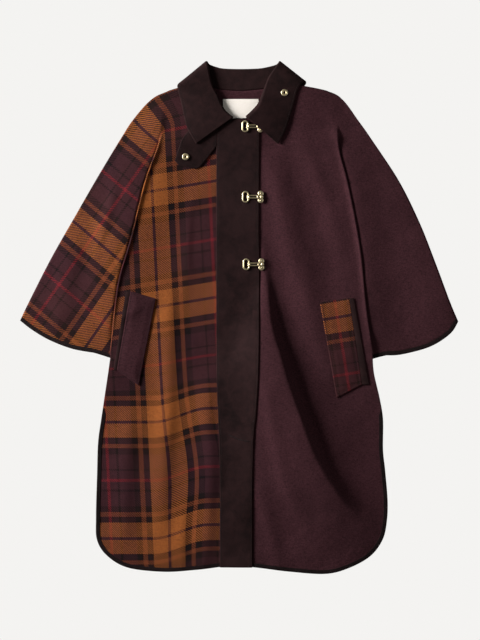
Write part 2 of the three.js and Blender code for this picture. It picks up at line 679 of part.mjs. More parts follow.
function cylinder(radius, from, to, sides = 20) {
  const geometry = new THREE.CylinderGeometry(radius, radius, to - from, sides);
  geometry.rotateX(Math.PI / 2);
  geometry.translate(0, 0, (from + to) / 2);
  return geometry;
}

function block(x0, x1, y0, y1, z0, z1) {
  const geometry = new THREE.BoxGeometry(x1 - x0, y1 - y0, z1 - z0);
  geometry.translate((x0 + x1) / 2, (y0 + y1) / 2, (z0 + z1) / 2);
  return geometry;
}

const united = (geometries) => geometries.map(solidOf).reduce((all, next) => all.add(next));

// Fastenings, drawn with the placket's top surface at height 0

function ringGeometry() {
  const oval = (shape, length, width) => {
    const straight = (length - width) / 2;
    shape.absarc(0, straight, width / 2, 0, Math.PI, false);
    shape.absarc(0, -straight, width / 2, Math.PI, 2 * Math.PI, false);
    return shape;
  };
  const shape = oval(new THREE.Shape(), RING.length, RING.width);
  const hole = oval(new THREE.Path(), RING.length - 2 * RING.wire, RING.width - 2 * RING.wire);
  shape.holes.push(hole);
  const settings = { depth: RING.thick, bevelEnabled: false, curveSegments: 7 };
  const geometry = new THREE.ExtrudeGeometry(shape, settings);
  geometry.translate(0, 0, GAP);
  return geometryOfSolid(solidOf(geometry));
}

// Two bars hook over the ring's side, an anchor plate with two lobes and a dome holds them, and a post
// below the plate reaches the front under it.
function hookGeometry(postFoot) {
  const barFrom = RING.thick + 2 * GAP;
  const barTop = barFrom + HOOK.thick;
  const hookEnd = RING.width / 2 - RING.wire - GAP;
  const pieces = [];
  for (const side of [-1, 1]) {
    const near = (side * HOOK.barGap) / 2;
    const far = near + side * HOOK.bar;
    const [low, high] = [Math.min(near, far), Math.max(near, far)];
    pieces.push(block(hookEnd - HOOK.lip, HOOK.reach + HOOK.overlap, low, high, barFrom, barTop));
  }
  const across = HOOK.barGap / 2 + HOOK.bar;
  pieces.push(block(hookEnd - HOOK.lip, hookEnd, -across, across, 3 * GAP, barTop));
  pieces.push(block(HOOK.reach - HOOK.lip, HOOK.reach + HOOK.overlap, -across, across, GAP, barTop));
  const plateTop = GAP + PLATE.thick;
  for (const side of [-1, 1]) {
    const lobe = cylinder(LOBE.radius, GAP, plateTop + LOBE.rise, 16);
    lobe.translate(PLATE.x, side * LOBE.offset, 0);
    pieces.push(lobe);
  }
  const [from, to] = [PLATE.x - PLATE.waist, PLATE.x + PLATE.waist];
  pieces.push(block(from, to, -LOBE.offset, LOBE.offset, GAP, plateTop + PLATE.waistRise));
  const post = cylinder(PLATE.postRadius, postFoot, GAP + 1, 8);
  post.translate(PLATE.domeX, 0, 0);
  pieces.push(post);
  const dome = new THREE.SphereGeometry(PLATE.domeRadius, 12, 6);
  dome.scale(1, 1, PLATE.domeHeight / PLATE.domeRadius);
  dome.translate(PLATE.domeX, 0, plateTop + PLATE.domeRise);
  pieces.push(dome);
  return geometryOfSolid(united(pieces));
}

function eyeletGeometry() {
  const { hole, barrel, flange } = EYELET;
  const profile = [[hole, -CORD], [barrel, -CORD], [barrel, 0.5], [flange, 0.5], [flange - 0.4, 1.2],
    [flange - 2.2, 1.6], [hole, 1.1], [hole, -CORD]];
  const geometry = new THREE.LatheGeometry(profile.map(vector), 18);
  geometry.rotateX(Math.PI / 2);
  return outwards(geometryOfSolid(solidOf(geometry)));
}

// Height of a geometry's top surface at x, y.
function topAt(geometry, [x, y]) {
  const mesh = new THREE.Mesh(geometry, new THREE.MeshBasicMaterial({ side: THREE.DoubleSide }));
  mesh.updateMatrixWorld();
  const ray = new THREE.Raycaster(new THREE.Vector3(x, y, 200), new THREE.Vector3(0, 0, -1));
  const hits = ray.intersectObject(mesh);
  return hits.length ? hits[0].point.z : 0;
}

// Assembly

const cloth = (color) => new THREE.MeshStandardMaterial({ color, roughness: 0.95, metalness: 0 });
const metal = (color) => new THREE.MeshStandardMaterial({ color, roughness: 0.3, metalness: 1 });
const MATERIALS = {
  plain: () => cloth(0x46292f),
  plaid: () => cloth(0x8a5530),
  corduroy: () => cloth(0x281c1c),
  label: () => cloth(0xefe7de),
  brass: () => metal(0xd9c48c),
};

const cape = new THREE.Group();

function add(name, geometry, material, [x, y, z] = [0, 0, 0]) {
  const mesh = new THREE.Mesh(geometry, MATERIALS[material]());
  mesh.name = name;
  mesh.position.set(x, y, z);
  cape.add(mesh);
}

// A short cylinder cut out at a place, no deeper than the piece that it goes through.
function withHole(geometry, place) {
  const top = topAt(geometry, place);
  const drill = cylinder(EYELET.cut, top - CORD - 1, top + 1.5, 24);
  drill.translate(place[0], place[1], 0);
  return geometryOfSolid(solidOf(geometry).subtract(solidOf(drill)));
}

const { right, left } = HALVES;
const BIND_LIFT = (3 * (BOUND - CLOTH)) / 2; // a front's binding clears the back's, which lies flat
const backBindMid = () => BOUND / 2;
const frontBindMid = (x, y) => frontMid(x, y) + BIND_LIFT;
const sleeveBindMid = (x, y) => lowMid(x, y) + BIND_LIFT;

add("back_panel", backPanel(), "plain");
add("front_right", frontPanel("right"), "plaid");
add("front_left", frontPanel("left"), "plain");
const backColumns = shares(COLUMNS.back / 2);
for (const [name, half] of Object.entries(HALVES)) {
  const stop = PLACKET[name === "right" ? "left" : "right"].at(-1)[0] + half.side * GAP;
  add("hem_binding_" + name, hemBinding(name, frontBindMid, BODY_COLUMNS, stop), "corduroy");
  add("hem_binding_back_" + name, hemBinding(name, backBindMid, backColumns, INNER_EDGE[name]), "corduroy");
  add("cuff_binding_" + name, cuffBinding(half, sleeveStart(half), sleeveBindMid), "corduroy");
  add("cuff_binding_back_" + name, cuffBinding(half, half.hem[0], backBindMid), "corduroy");
}
const placketGeometry = placket();
const tabGeometry = throatTab();
const collarGeometry = collar();
add("placket", placketGeometry, "corduroy");
add("throat_tab", withHole(tabGeometry, EYELET_PLACES.tab), "corduroy");
add("collar", withHole(collarGeometry, EYELET_PLACES.collar), "corduroy");
add("pocket_welt_right", pocketWelt(WELTS.right), "plain");
add("pocket_facing_right", pocketFacing(WELTS.right), "corduroy");
add("pocket_welt_left", pocketWelt(WELTS.left), "plaid");
add("pocket_facing_left", pocketFacing(WELTS.left), "corduroy");
add("label", label(), "label");
for (const [i, [x, y]] of CLASP_CENTRES.entries()) {
  const places = CLASP_PROBES.map(([dx, dy]) => [x + dx, y + dy]);
  const top = Math.max(...places.map((place) => topAt(placketGeometry, place)));
  const front = frontMid(x + PLATE.domeX, y) + CLOTH / 2;
  add("clasp_ring_" + (i + 1), ringGeometry(), "brass", [x, y, top]);
  add("clasp_hook_" + (i + 1), hookGeometry(front + GAP - top), "brass", [x, y, top]);
}
const eyelets = { tab: tabGeometry, collar: collarGeometry };
for (const [name, [x, y]] of Object.entries(EYELET_PLACES)) {
  const places = EYELET_PROBES.map(([dx, dy]) => [x + dx, y + dy]);
  const top = Math.max(...places.map((place) => topAt(eyelets[name], place)));
  add("eyelet_" + name, eyeletGeometry(), "brass", [x, y, top - GAP]);
}

// The origin lies at the middle of the underside.
const box = new THREE.Box3().setFromObject(cape, true);
const centre = box.getCenter(new THREE.Vector3());
cape.position.set(-centre.x, -centre.y, -box.min.z);

export default cape;
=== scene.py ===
"""A wide wool cape-coat laid flat: a checked front, a plain front, and corduroy collar, placket and tab.

Shapes are worked out in millimetres in the garment's own plane, X to the picture's right and Y towards
the collar, and turned into metres of the part's frame when a mesh is made.
"""

import math

import bpy
import numpy as np
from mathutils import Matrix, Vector


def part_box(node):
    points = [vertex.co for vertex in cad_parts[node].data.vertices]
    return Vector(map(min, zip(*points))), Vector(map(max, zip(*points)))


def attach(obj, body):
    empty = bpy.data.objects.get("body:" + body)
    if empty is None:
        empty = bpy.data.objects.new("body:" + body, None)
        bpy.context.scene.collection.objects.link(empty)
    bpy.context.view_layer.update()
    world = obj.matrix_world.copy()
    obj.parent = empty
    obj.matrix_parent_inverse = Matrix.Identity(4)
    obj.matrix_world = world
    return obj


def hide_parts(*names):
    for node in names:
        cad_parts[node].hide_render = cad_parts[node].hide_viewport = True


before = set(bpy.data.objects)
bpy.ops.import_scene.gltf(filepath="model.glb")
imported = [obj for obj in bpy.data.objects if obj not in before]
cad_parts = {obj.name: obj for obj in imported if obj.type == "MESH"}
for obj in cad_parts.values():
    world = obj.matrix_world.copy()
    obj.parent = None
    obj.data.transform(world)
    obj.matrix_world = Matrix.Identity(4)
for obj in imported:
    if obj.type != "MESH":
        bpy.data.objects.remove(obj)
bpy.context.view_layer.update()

MM = 0.001
TO_FRAME = (-0.06, 1.15, 0)  # from the garment's own middle to the frame's origin
VIEW_MIDDLE = (1.95, -5.85)  # under the camera, from the garment's own middle

# Thickness of the cloths and bindings, and the levels at which they lie, in mm
WOOL = 2.4
CORD = 2.2
BOUND = 2.8
BIND_WIDTH = 7.0
BIND_OVER = 0.9  # how far a binding covers the panel that it holds
BACK_MID = WOOL / 2
FRONT_MID = BACK_MID + WOOL + 0.55
NECK_LIFT = {"back": 2.7, "front": 3.8}
INNER_EDGE = {"right": -30, "left": -26}  # x of the fronts' edges under the placket
OVER = 0.5  # how far the trimmings lie over the fronts
BIND_LIFT = 0.6  # how far a binding's middle stands over its panel's

# Underarm fold: the radius, depth and turn of its bends, and how it fades towards the shoulder
FOLD_RADIUS, FOLD_DEPTH, FOLD_TURN = 1.4, 22.0, math.pi - 0.035
FOLD_LEAST = 0.8  # its depth where it starts
FOLD_FADE, FOLD_SOFTNESS = 110.0, 60.0
BEND_STEPS, FLAT_STEPS = 8, 3

HALVES = {
    "right": {
        "side": -1,
        "apex": 369,
        "crest": [(-137, 441), (-144, 369), (-154, 337), (-181, 263), (-207, 158), (-230, 80), (-240, 19),
                  (-246, -39), (-250, -74)],
        "overarm": [(-172, 423), (-207, 384), (-232, 345), (-279, 267), (-324, 189), (-368, 111),
                    (-408, 33)],
        "cuff": [(-283, -70), (-326, -62), (-370, -45), (-404, -25), (-427, -7)],
        "hem": [(-250, -74), (-254, -103), (-263, -162), (-269, -201), (-275, -245), (-277, -308),
                (-279, -390), (-277, -435), (-257, -466), (-217, -489), (-150, -497), (-90, -494),
                (-30, -487)],
        "corner": 0.66,
    },
    "left": {
        "side": 1,
        "apex": 378,
        "crest": [(172, 441), (187, 378), (193, 326), (209, 263), (224, 191), (236, 117), (246, 16),
                  (260, -74)],
        "overarm": [(203, 423), (232, 384), (259, 345), (310, 267), (349, 189), (380, 111), (409, 33)],
        "cuff": [(287, -75), (318, -73), (372, -58), (411, -33), (427, -9)],
        "hem": [(260, -74), (263, -110), (275, -162), (281, -201), (281, -259), (285, -298),
                (290, -360), (288, -400), (279, -435), (256, -466), (215, -489), (168, -501),
                (100, -497), (25, -488), (-26, -487)],
        "corner": 0.62,
    },
}
VENT = 0.25  # share of the way from underarm to hem corner at which the side opens

# Soft folds of the fronts. Each runs through points of x, y, height, and width on its left and right.
FOLDS = [
    # the deep drag fold from the lowest clasp to the side of the hem, and the broad rise that it stands on
    [(44, 158, 0, 7, 9), (48, 118, 1.5, 7, 9), (51, 85, 3.5, 8, 9), (55, 50, 7.5, 16, 9),
     (58, 10, 12, 36, 10), (66, -35, 16, 60, 11), (75, -64, 18, 80, 12), (92, -123, 20, 100, 13),
     (119, -201, 20, 110, 14), (149, -279, 19, 110, 15), (197, -357, 14.5, 86, 16),
     (240, -396, 9.5, 60, 18), (278, -416, 5, 44, 20)],
    [(64, -10, 0, 40, 60), (90, -100, 2.5, 50, 80), (122, -201, 4.5, 60, 92), (152, -279, 5, 70, 96),
     (182, -357, 4.5, 70, 100), (198, -450, 3.5, 80, 100), (204, -500, 2.5, 80, 100)],
    # the plain front's chest, from the collar down
    [(58, 330, 0, 20, 22), (72, 270, 5, 22, 28), (82, 228, 6, 22, 32), (105, 131, 6.5, 24, 34),
     (134, 33, 6.5, 26, 34), (164, -60, 5, 28, 34), (192, -150, 0, 28, 34)],
    [(110, 380, 0, 20, 18), (129, 326, 2.6, 20, 18), (170, 228, 2.8, 20, 18), (197, 131, 2, 20, 18),
     (212, 50, 0, 20, 18)],
    [(50, -120, 0, 12, 16), (58, -162, 2, 12, 18), (74, -259, 2.8, 14, 20), (88, -318, 2.8, 14, 20),
     (115, -376, 2.4, 15, 20), (136, -430, 0, 15, 20)],
    [(40, -320, 0, 12, 14), (47, -357, 2, 12, 15), (60, -415, 2.4, 14, 16), (76, -480, 2, 14, 16)],
    # the rise to the underarm fold, and the plain sleeve's valley beside it
    [(178, 425, 0, 26, 34), (196, 350, 4.5, 12, 36), (217, 263, 8, 9, 42), (232, 191, 8.5, 9, 44),
     (244, 117, 8.5, 9, 44), (254, 16, 7.5, 9, 42), (261, -30, 4, 9, 40), (266, -62, 0, 20, 40)],
    [(236, 380, 0, 30, 20), (282, 300, 5, 50, 20), (346, 184, 8, 72, 24), (392, 60, 9, 84, 26),
     (412, -20, 7, 84, 30)],
    # the checked front
    [(-58, -90, 0, 20, 15), (-62, -180, 3.5, 22, 15), (-56, -300, 4.2, 22, 15), (-66, -470, 2.5, 20, 15)],
    [(-134, 90, 0, 20, 14), (-136, -20, 3.6, 22, 15), (-138, -180, 4.6, 22, 16), (-150, -350, 3, 20, 16),
     (-154, -440, 0, 20, 16)],
    [(-213, -170, 0, 22, 16), (-218, -270, 3.4, 22, 16), (-222, -400, 2.4, 22, 16),
     (-224, -450, 0, 22, 16)],
    [(-92, 250, 0, 12, 9), (-101, 130, 2, 13, 9), (-98, 20, 0, 12, 9)],
    [(-104, -350, 0, 13, 10), (-110, -430, 1.8, 14, 10), (-112, -484, 1, 14, 10)],
    # the checked sleeve
    [(-305, 190, 0, 26, 20), (-326, 110, 3.4, 28, 20), (-346, 10, 3, 28, 20)],
    [(-148, 412, 0, 40, 8), (-161, 337, 5.5, 52, 7), (-188, 263, 7.5, 62, 7), (-214, 158, 8, 66, 7),
     (-237, 80, 7.5, 66, 7), (-247, 19, 6.5, 60, 7), (-254, -30, 3, 50, 7), (-258, -62, 0, 40, 7)],
    [(-232, 280, 0, 13, 9), (-258, 190, 2.2, 14, 9), (-288, 96, 0, 13, 9)],
    # drag lines at the ends of the plain welt
    [(-190, 20, 0, 8, 10), (-214, 6, 1.5, 8, 10), (-240, -4, 0, 8, 10)],
]

COLLAR = [
    # share on the front, seam, roll, outer edge, lift at roll and at outer edge, sideways bulge
    (1, -18, 379, -12, 389, -83, 338, 7.5, 6, 0),
    (1, -50, 392, -29, 404, -101, 371, 6.4, 6, 0),
    (1, -70, 415, -43, 433, -111, 415, 5, 3.6, 0),
    (1, -75, 438, -53, 452, -118, 443, 4.2, 3.2, 0),
    (0.95, -74, 452, -60, 485, -119, 451, 3.6, 2.8, -1),
    (0.5, -73, 460, -62, 498, -115, 456, 0, 0, -3),
    (0.05, -67, 455, -57, 492, -112, 449, -2.6, -2.6, -1),
    (0, -50, 447, -44, 487, -80, 428, -2.6, -2.6, 0),
    (0, -30, 443, -30, 484, -45, 415, -2.6, -2.6, 0),
    (0, 2, 441, 2, 483, 2, 411, -2.6, -2.6, 0),
    (0, 34, 443, 37, 484, 50, 415, -2.6, -2.6, 0),
    (0, 58, 447, 56, 487, 96, 428, -2.6, -2.6, 0),
    (0.05, 75, 455, 73, 492, 128, 453, -2.6, -2.6, 1),
    (0.5, 81, 460, 78, 498, 127, 461, 0, 0, 3),
    (0.95, 80, 452, 71, 486, 121, 455, 3.6, 2.8, 1),
    (1, 76, 438, 58, 466, 113, 440, 4.6, 3.2, 0),
    (1, 66, 418, 49, 443, 103, 404, 7.5, 3.6, 0),
    (1, 45, 395, 36, 413, 90, 364, 12.6, 5, 0),
    (1, 20, 381, 14, 390, 76, 338, 14, 4.4, 0),
]
SEAM_GAP = 2.2  # from the neck seam to where the collar's stand starts
NECK_POINT = {"right": (-78, 457), "left": (86, 457)}

PLACKET = {
    "left": [(-43, 364), (-43, -74), (-39.5, -200), (-36.5, -294), (-36.5, -487.5)],
    "right": [(39, 366), (38, 183), (39, 92), (37.5, -90), (33, -180), (27.5, -238), (25.5, -330),
              (25.5, -487.5)],
    "top": [(-43, 364), (-20, 380), (-4, 384), (12, 384), (39, 366)],
}
TAB = {
    "top": [(-76, 394), (-43.6, 368)],
    "left": [(-76, 394), (-111, 345), (-124, 305)],
    "right": [(-43.6, 368), (-43.6, 334), (-76, 293)],
    "bottom": [(-124, 305), (-117, 296), (-84, 289.5), (-76, 293)],
}
WELTS = {
    "right": {"corners": [(-210.5, 49), (-163, 35), (-196, -132), (-237, -103)], "opening": (-9, -6.5)},
    "left": {"corners": [(213.5, 36), (158.5, 28), (191, -156), (238.5, -131)], "opening": (9.5, 14)},
}
LABEL = {"x": (-31, 38), "y": (388, 424.5), "thickness": 0.8}
CLASPS = [(12, 371), (12.7, 234), (14.2, 102.5)]
EYELETS = {"tab": (-104, 312), "collar": (88.5, 436.5)}
EYELET_HOLE = 3.2  # radius

# Widths over which an edge's stitching and pressing are spaced, in mm
PLACKET_WIDTH = 72
TAB_WIDTH, TAB_LENGTH = 52, 100
WELT_WIDTH, WELT_LENGTH = 50, 172


# Plane curves. Each is a function of a share of its length, from 0 to 1.


def polyline(points):
    points = np.asarray(points, float)
    run = np.concatenate([[0], np.cumsum(np.linalg.norm(np.diff(points, axis=0), axis=1))])

    def at(share):
        place = np.clip(share, 0, 1) * run[-1]
        return np.stack([np.interp(place, run, points[:, i]) for i in (0, 1)], axis=-1)

    return at


def rounded_step(before, p, q, after, t):
    """Points from p to q on a smooth line that also runs through the points before and after."""
    v0, v1 = (q - before) / 2, (after - p) / 2
    return (2 * p - 2 * q + v0 + v1) * t**3 + (3 * q - 3 * p - 2 * v0 - v1) * t**2 + v0 * t + p


def smooth_points(points, steps=24):
    points = np.asarray(points, float)
    padded = np.vstack([points[:1], points, points[-1:]])
    t = np.linspace(0, 1, steps, endpoint=False)[:, None]
    rows = []
    for p0, p1, p2, p3 in zip(padded, padded[1:], padded[2:], padded[3:]):
        rows.append(rounded_step(p0, p1, p2, p3, t))
    return np.vstack(rows + [points[-1:]])


def spline(points):
    return polyline(smooth_points(points))


def chain(*parts):
    """Curves joined end to end, each over its own part of the share."""

    def at(share):
        share = np.atleast_1d(np.asarray(share, float))
        points, start = np.zeros(share.shape + (2,)), 0
        for curve, part in parts:
            inside = share >= start - 1e-9
            points[inside] = curve(np.clip((share[inside] - start) / part, 0, 1))
            start += part
        return points

    return at


def inset(curve, amount):
    """A curve moved to the left of its direction."""
    step = 0.004

    def at(share):
        share = np.asarray(share, float)
        ahead = curve(np.minimum(share + step, 1)) - curve(np.maximum(share - step, 0))
        ahead /= np.linalg.norm(ahead, axis=-1, keepdims=True)
        moved = np.asarray(amount(share) if callable(amount) else amount, float)
        return curve(share) + np.stack([-ahead[..., 1], ahead[..., 0]], axis=-1) * moved[..., None]

    return at


def patch(top, bottom, left, right, across, down):
    """A grid of points between four curves."""
    a, d = across[None, :, None], down[:, None, None]
    grid = top(across)[None] * (1 - d) + bottom(across)[None] * d
    grid = grid + left(down)[:, None] * (1 - a) + right(down)[:, None] * a
    corners = [curve(np.array([0.0, 1.0])) for curve in (top, bottom)]
    grid = grid - corners[0][0] * (1 - a) * (1 - d) - corners[0][1] * a * (1 - d)
    return grid - corners[1][0] * (1 - a) * d - corners[1][1] * a * d


def smooth(value, start, end):
    t = np.clip((np.asarray(value, float) - start) / (end - start), 0, 1)
    return t * t * (3 - 2 * t)


def lerp(a, b, share):
    return a + (b - a) * share


# Heights of the cloth


def fold_height(x, y, points):
    """Height of a fold that runs through points of x, y, height, and width on its left and right."""
    stations = smooth_points(points, 5)
    nearest = np.full(np.shape(x), np.inf)
    height, width = np.zeros(np.shape(x)), np.ones(np.shape(x))
    for a, b in zip(stations, stations[1:]):
        along = b[:2] - a[:2]
        share = np.clip(((x - a[0]) * along[0] + (y - a[1]) * along[1]) / (along @ along), 0, 1)
        dx, dy = x - a[0] - share * along[0], y - a[1] - share * along[1]
        distance = np.hypot(dx, dy)
        closer = distance < nearest
        nearest = np.where(closer, distance, nearest)
        on_right = along[0] * dy - along[1] * dx > 0
        height = np.where(closer, lerp(a[2], b[2], share), height)
        own_width = np.where(on_right, lerp(a[4], b[4], share), lerp(a[3], b[3], share))
        width = np.where(closer, own_width, width)
    return np.maximum(height, 0) * np.exp(-((nearest / np.maximum(width, 1)) ** 2))


# Slow rises and falls of cloth that has been smoothed by hand: length, direction, height, start.
UNEVEN = [(164, 0.4, 0.42, 0.3), (121, 1.9, 0.34, 2.1), (83, 2.8, 0.24, 4.0), (61, 1.1, 0.17, 1.2),
          (43, 2.3, 0.11, 5.1), (31, 0.2, 0.07, 3.3), (23, 1.5, 0.05, 0.7)]


def unevenness(x, y):
    total = np.zeros(np.shape(x))
    for length, turn, height, start in UNEVEN:
        along = (x * math.cos(turn) + y * math.sin(turn)) / length * 2 * math.pi
        across = (y * math.cos(turn) - x * math.sin(turn)) / length * 1.7
        total = total + height * np.sin(along + start + 1.3 * np.sin(across + 2 * start))
    return total


def near_neck(x, y):
    return smooth(y, 320, 388) * (1 - smooth(np.abs(x), 128, 215))


def beside_fastenings(x, y):
    """0 where the clasps lie on the placket, so that they touch it as the solids do, and 1 elsewhere."""
    return 1 - smooth(y, 60, 90) * (1 - smooth(np.abs(x - 14), 42, 80))


def back_mid(x, y):
    return BACK_MID + NECK_LIFT["back"] * near_neck(x, y)


def low_mid(x, y):
    folds = sum(fold_height(x, y, fold) for fold in FOLDS)
    soft = unevenness(x, y) * beside_fastenings(x, y) * (1 - near_neck(x, y))
    return FRONT_MID + NECK_LIFT["front"] * near_neck(x, y) + folds + soft


def fold_section(half, y):
    """Section of the underarm fold where its crest is at y: distances outwards and drops, step by step."""
    made = np.clip((half["apex"] - np.asarray(y, float)) / FOLD_FADE, 0, 1)
    turn = FOLD_TURN * smooth(made, 0, 0.5) / BEND_STEPS
    bend = FOLD_RADIUS * FOLD_TURN / BEND_STEPS
    flat = (FOLD_LEAST + FOLD_DEPTH * smooth(made, 0.4, 1)) / FLAT_STEPS
    steps = [(bend, turn)] * BEND_STEPS + [(flat, 0)] * FLAT_STEPS + [(bend, -turn)] * BEND_STEPS
    out, drop, angle = [np.zeros(made.shape)], [np.zeros(made.shape)], 0
    for length, by in steps:
        angle = angle + by / 2
        out.append(out[-1] + length * np.cos(angle))
        drop.append(drop[-1] + length * np.sin(angle))
        angle = angle + by / 2
    return np.array(out), np.array(drop)


def side_edge(half, y):
    """x of the body's edge at a height y: the crest above the underarm, the hem's side below it."""
    table = half["crest"] + [point for point in half["hem"][1:9] if point[1] >= -435]
    heights, places = [-py for _, py in table], [px for px, _ in table]
    return np.interp(-np.asarray(y, float), heights, places)


def body_mid(half, x, y):
    underarm = half["hem"][0][1]
    rise = fold_section(half, np.maximum(y, underarm))[1][-1] * smooth(y, underarm - 160, underarm)
    inward = np.maximum(0, (side_edge(half, y) - x) * half["side"])
    return low_mid(x, y) + rise * np.exp(-((inward / FOLD_SOFTNESS) ** 2))


def front_mid(x, y):
    x, y = np.asarray(x, float), np.asarray(y, float)
    return np.where(x < 0, body_mid(HALVES["right"], x, y), body_mid(HALVES["left"], x, y))


def front_top(x, y):
    return front_mid(x, y) + WOOL / 2


# Cloth as a mid-surface sewn from grids of points, thickened to both sides


def with_heights(xy, heights):
    return np.concatenate([xy, np.asarray(heights)[..., None]], axis=-1)


def laid_on(mid, xy, lift=0):
    """Points at the height that mid gives for their places, or higher by a lift."""
    return with_heights(xy, mid(xy[..., 0], xy[..., 1]) + lift)


SEWING_GRID = 200  # points that agree to one part in so many of a millimetre are sewn together


class Cloth:
    def __init__(self):
        self.points, self.grain, self.faces, self.count = [], [], [], 0

    def add(self, points, grain=None, flip=False):
        """A grid of points in mm. grain has each point's place on the flat cloth, in mm."""
        rows, columns = points.shape[:2]
        index = np.arange(rows * columns).reshape(rows, columns) + self.count
        a, b, c, d = index[:-1, :-1], index[:-1, 1:], index[1:, 1:], index[1:, :-1]
        order = (a, b, c, d) if flip else (a, d, c, b)
        self.faces.append(np.stack(order, axis=-1).reshape(-1, 4))
        self.points.append(points.reshape(-1, 3))
        self.grain.append((points[..., :2] if grain is None else grain).reshape(-1, 2))
        self.count += rows * columns
        return self

    def sewn(self):
        """Points, grain and faces with the grids' shared edges sewn together."""
        points, grain = np.vstack(self.points), np.vstack(self.grain)
        _, first, renamed = np.unique(np.round(points * SEWING_GRID), axis=0, return_index=True,
                                      return_inverse=True)
        faces = []
        for face in renamed.reshape(-1)[np.vstack(self.faces)].tolist():
            kept = [v for i, v in enumerate(face) if v != face[i - 1]]
            if len(set(kept)) > 2:
                faces.append(kept)
        return points[first], grain[first], faces

    def hole(self, centre, radius):
        """Leaves out the faces round a place, for an eyelet."""
        points = np.vstack(self.points)
        kept = []
        for faces in self.faces:
            middles = points[faces][..., :2].mean(axis=1)
            kept.append(faces[np.hypot(*(middles - centre).T) > radius])
        self.faces = kept
        return self

    def made(self, name, thickness, material, slot, rounded=True):
        points, grain, faces = self.sewn()
        normals = np.zeros_like(points)
        open_edges = {}
        for face in faces:
            a, b, c = (points[face[i]] for i in (0, 1, 2))
            d = points[face[-1]]
            normals[face] += np.cross(c - a, d - b) if len(face) == 4 else np.cross(b - a, c - a)
            for v0, v1 in zip(face, face[1:] + face[:1]):
                if not open_edges.pop((v1, v0), False):
                    open_edges[(v0, v1)] = True
        normals /= np.maximum(np.linalg.norm(normals, axis=1, keepdims=True), 1e-12)
        outward = {}
        for v0, v1 in open_edges:
            edge = np.cross(points[v1] - points[v0], normals[v0])
            for v in (v0, v1):
                outward[v] = outward.get(v, 0) + edge
        rim = sorted(outward)
        aside = np.array([outward[v] / max(np.linalg.norm(outward[v]), 1e-12) for v in rim])
        at = {v: i for i, v in enumerate(rim)}
        count, half = len(points), thickness / 2
        layers = [points + normals * half, points - normals * half]
        turns = [math.pi * step / 5 for step in (1, 2, 3, 4)] if rounded else []
        for turn in turns:
            layers.append(points[rim] + (aside * math.sin(turn) + normals[rim] * math.cos(turn)) * half)

        def ring(v, step):
            if step == 0:
                return v
            if step > len(turns):
                return v + count
            return 2 * count + (step - 1) * len(rim) + at[v]

        quads = [list(face) for face in faces] + [[v + count for v in reversed(face)] for face in faces]
        for v0, v1 in open_edges:
            for step in range(len(turns) + 1):
                quads.append([ring(v1, step), ring(v0, step), ring(v0, step + 1), ring(v1, step + 1)])
        flat = np.vstack([grain, grain] + [grain[rim]] * len(turns))
        return made_mesh(name, np.vstack(layers), quads, material, flat)


def made_mesh(name, points, faces, material, grain=None):
    """Points in mm become a smooth-shaded piece in metres of the row frame, which rides on the body."""
    mesh = bpy.data.meshes.new(name)
    placed = (np.asarray(points, float) + TO_FRAME) * MM
    mesh.from_pydata(placed.tolist(), [], faces)
    mesh.validate()
    if grain is not None:
        corners = np.zeros(len(mesh.loops), dtype=int)
        mesh.loops.foreach_get("vertex_index", corners)
        layer = mesh.uv_layers.new(name="Grain")
        layer.data.foreach_set("uv", (grain[corners] * MM).astype(np.float32).ravel())
    mesh.polygons.foreach_set("use_smooth", [True] * len(mesh.polygons))
    mesh.materials.append(material)
    piece = bpy.data.objects.new(name, mesh)
    bpy.context.scene.collection.objects.link(piece)
    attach(piece, "root")
    return piece


# Materials

THREAD_PITCH = 0.00112  # metres from thread to thread of the wool


def feed(tree, sockets, values):
    """Links each value that varies to its socket, and sets each one that doesn't."""
    for key, value in values.items():
        if isinstance(value, bpy.types.NodeSocket):
            tree.links.new(value, sockets[key])
        else:
            sockets[key].default_value = value


def put(tree, kind, inputs=None, **settings):
    """Adds a node with its settings and inputs."""
    made = tree.nodes.new("ShaderNode" + kind)
    for name, value in settings.items():
        setattr(made, name, value)
    feed(tree, made.inputs, inputs or {})
    return made


def sums(tree, operation, *values, clamp=False):
    inputs = {i: value for i, value in enumerate(values)}
    return put(tree, "Math", inputs, operation=operation, use_clamp=clamp).outputs[0]


def mixed(tree, share, first, second, blend="MIX"):
    """Two colours mixed. They are the node's seventh and eighth inputs, and the result its third output."""
    inputs = {"Factor": share, 6: first, 7: second}
    return put(tree, "Mix", inputs, data_type="RGBA", blend_type=blend).outputs[2]


def ranged(tree, value, low, high, to_low=0.0, to_high=1.0):
    inputs = {"Value": value, "From Min": low, "From Max": high, "To Min": to_low, "To Max": to_high}
    return put(tree, "MapRange", inputs).outputs[0]


def noise(tree, place, scale, detail, roughness=0.5, distortion=0.0):
    inputs = {"Vector": place, "Scale": scale, "Detail": detail, "Roughness": roughness,
              "Distortion": distortion}
    return put(tree, "TexNoise", inputs).outputs[0]


def blended(tree, first, second, share):
    """Two masks added in the given share of the first and the rest of the second."""
    return sums(tree, "MULTIPLY_ADD", first, share, sums(tree, "MULTIPLY", second, 1 - share))


def linear(red, green, blue):
    """A colour as a dyer would match it on a screen, as the shader wants it."""
    return tuple(((c / 255 + 0.055) / 1.055) ** 2.4 if c > 10 else c / 255 / 12.92
                 for c in (red, green, blue)) + (1.0,)


def group(name, inputs, outputs):
    """A node group with named sockets, and its input and output nodes."""
    tree = bpy.data.node_groups.new(name, "ShaderNodeTree")
    for socket, kind, value in inputs:
        made = tree.interface.new_socket(socket, in_out="INPUT", socket_type="NodeSocket" + kind)
        if value is not None:
            made.default_value = value
    for socket, kind in outputs:
        tree.interface.new_socket(socket, in_out="OUTPUT", socket_type="NodeSocket" + kind)
    return tree, tree.nodes.new("NodeGroupInput").outputs, tree.nodes.new("NodeGroupOutput").inputs


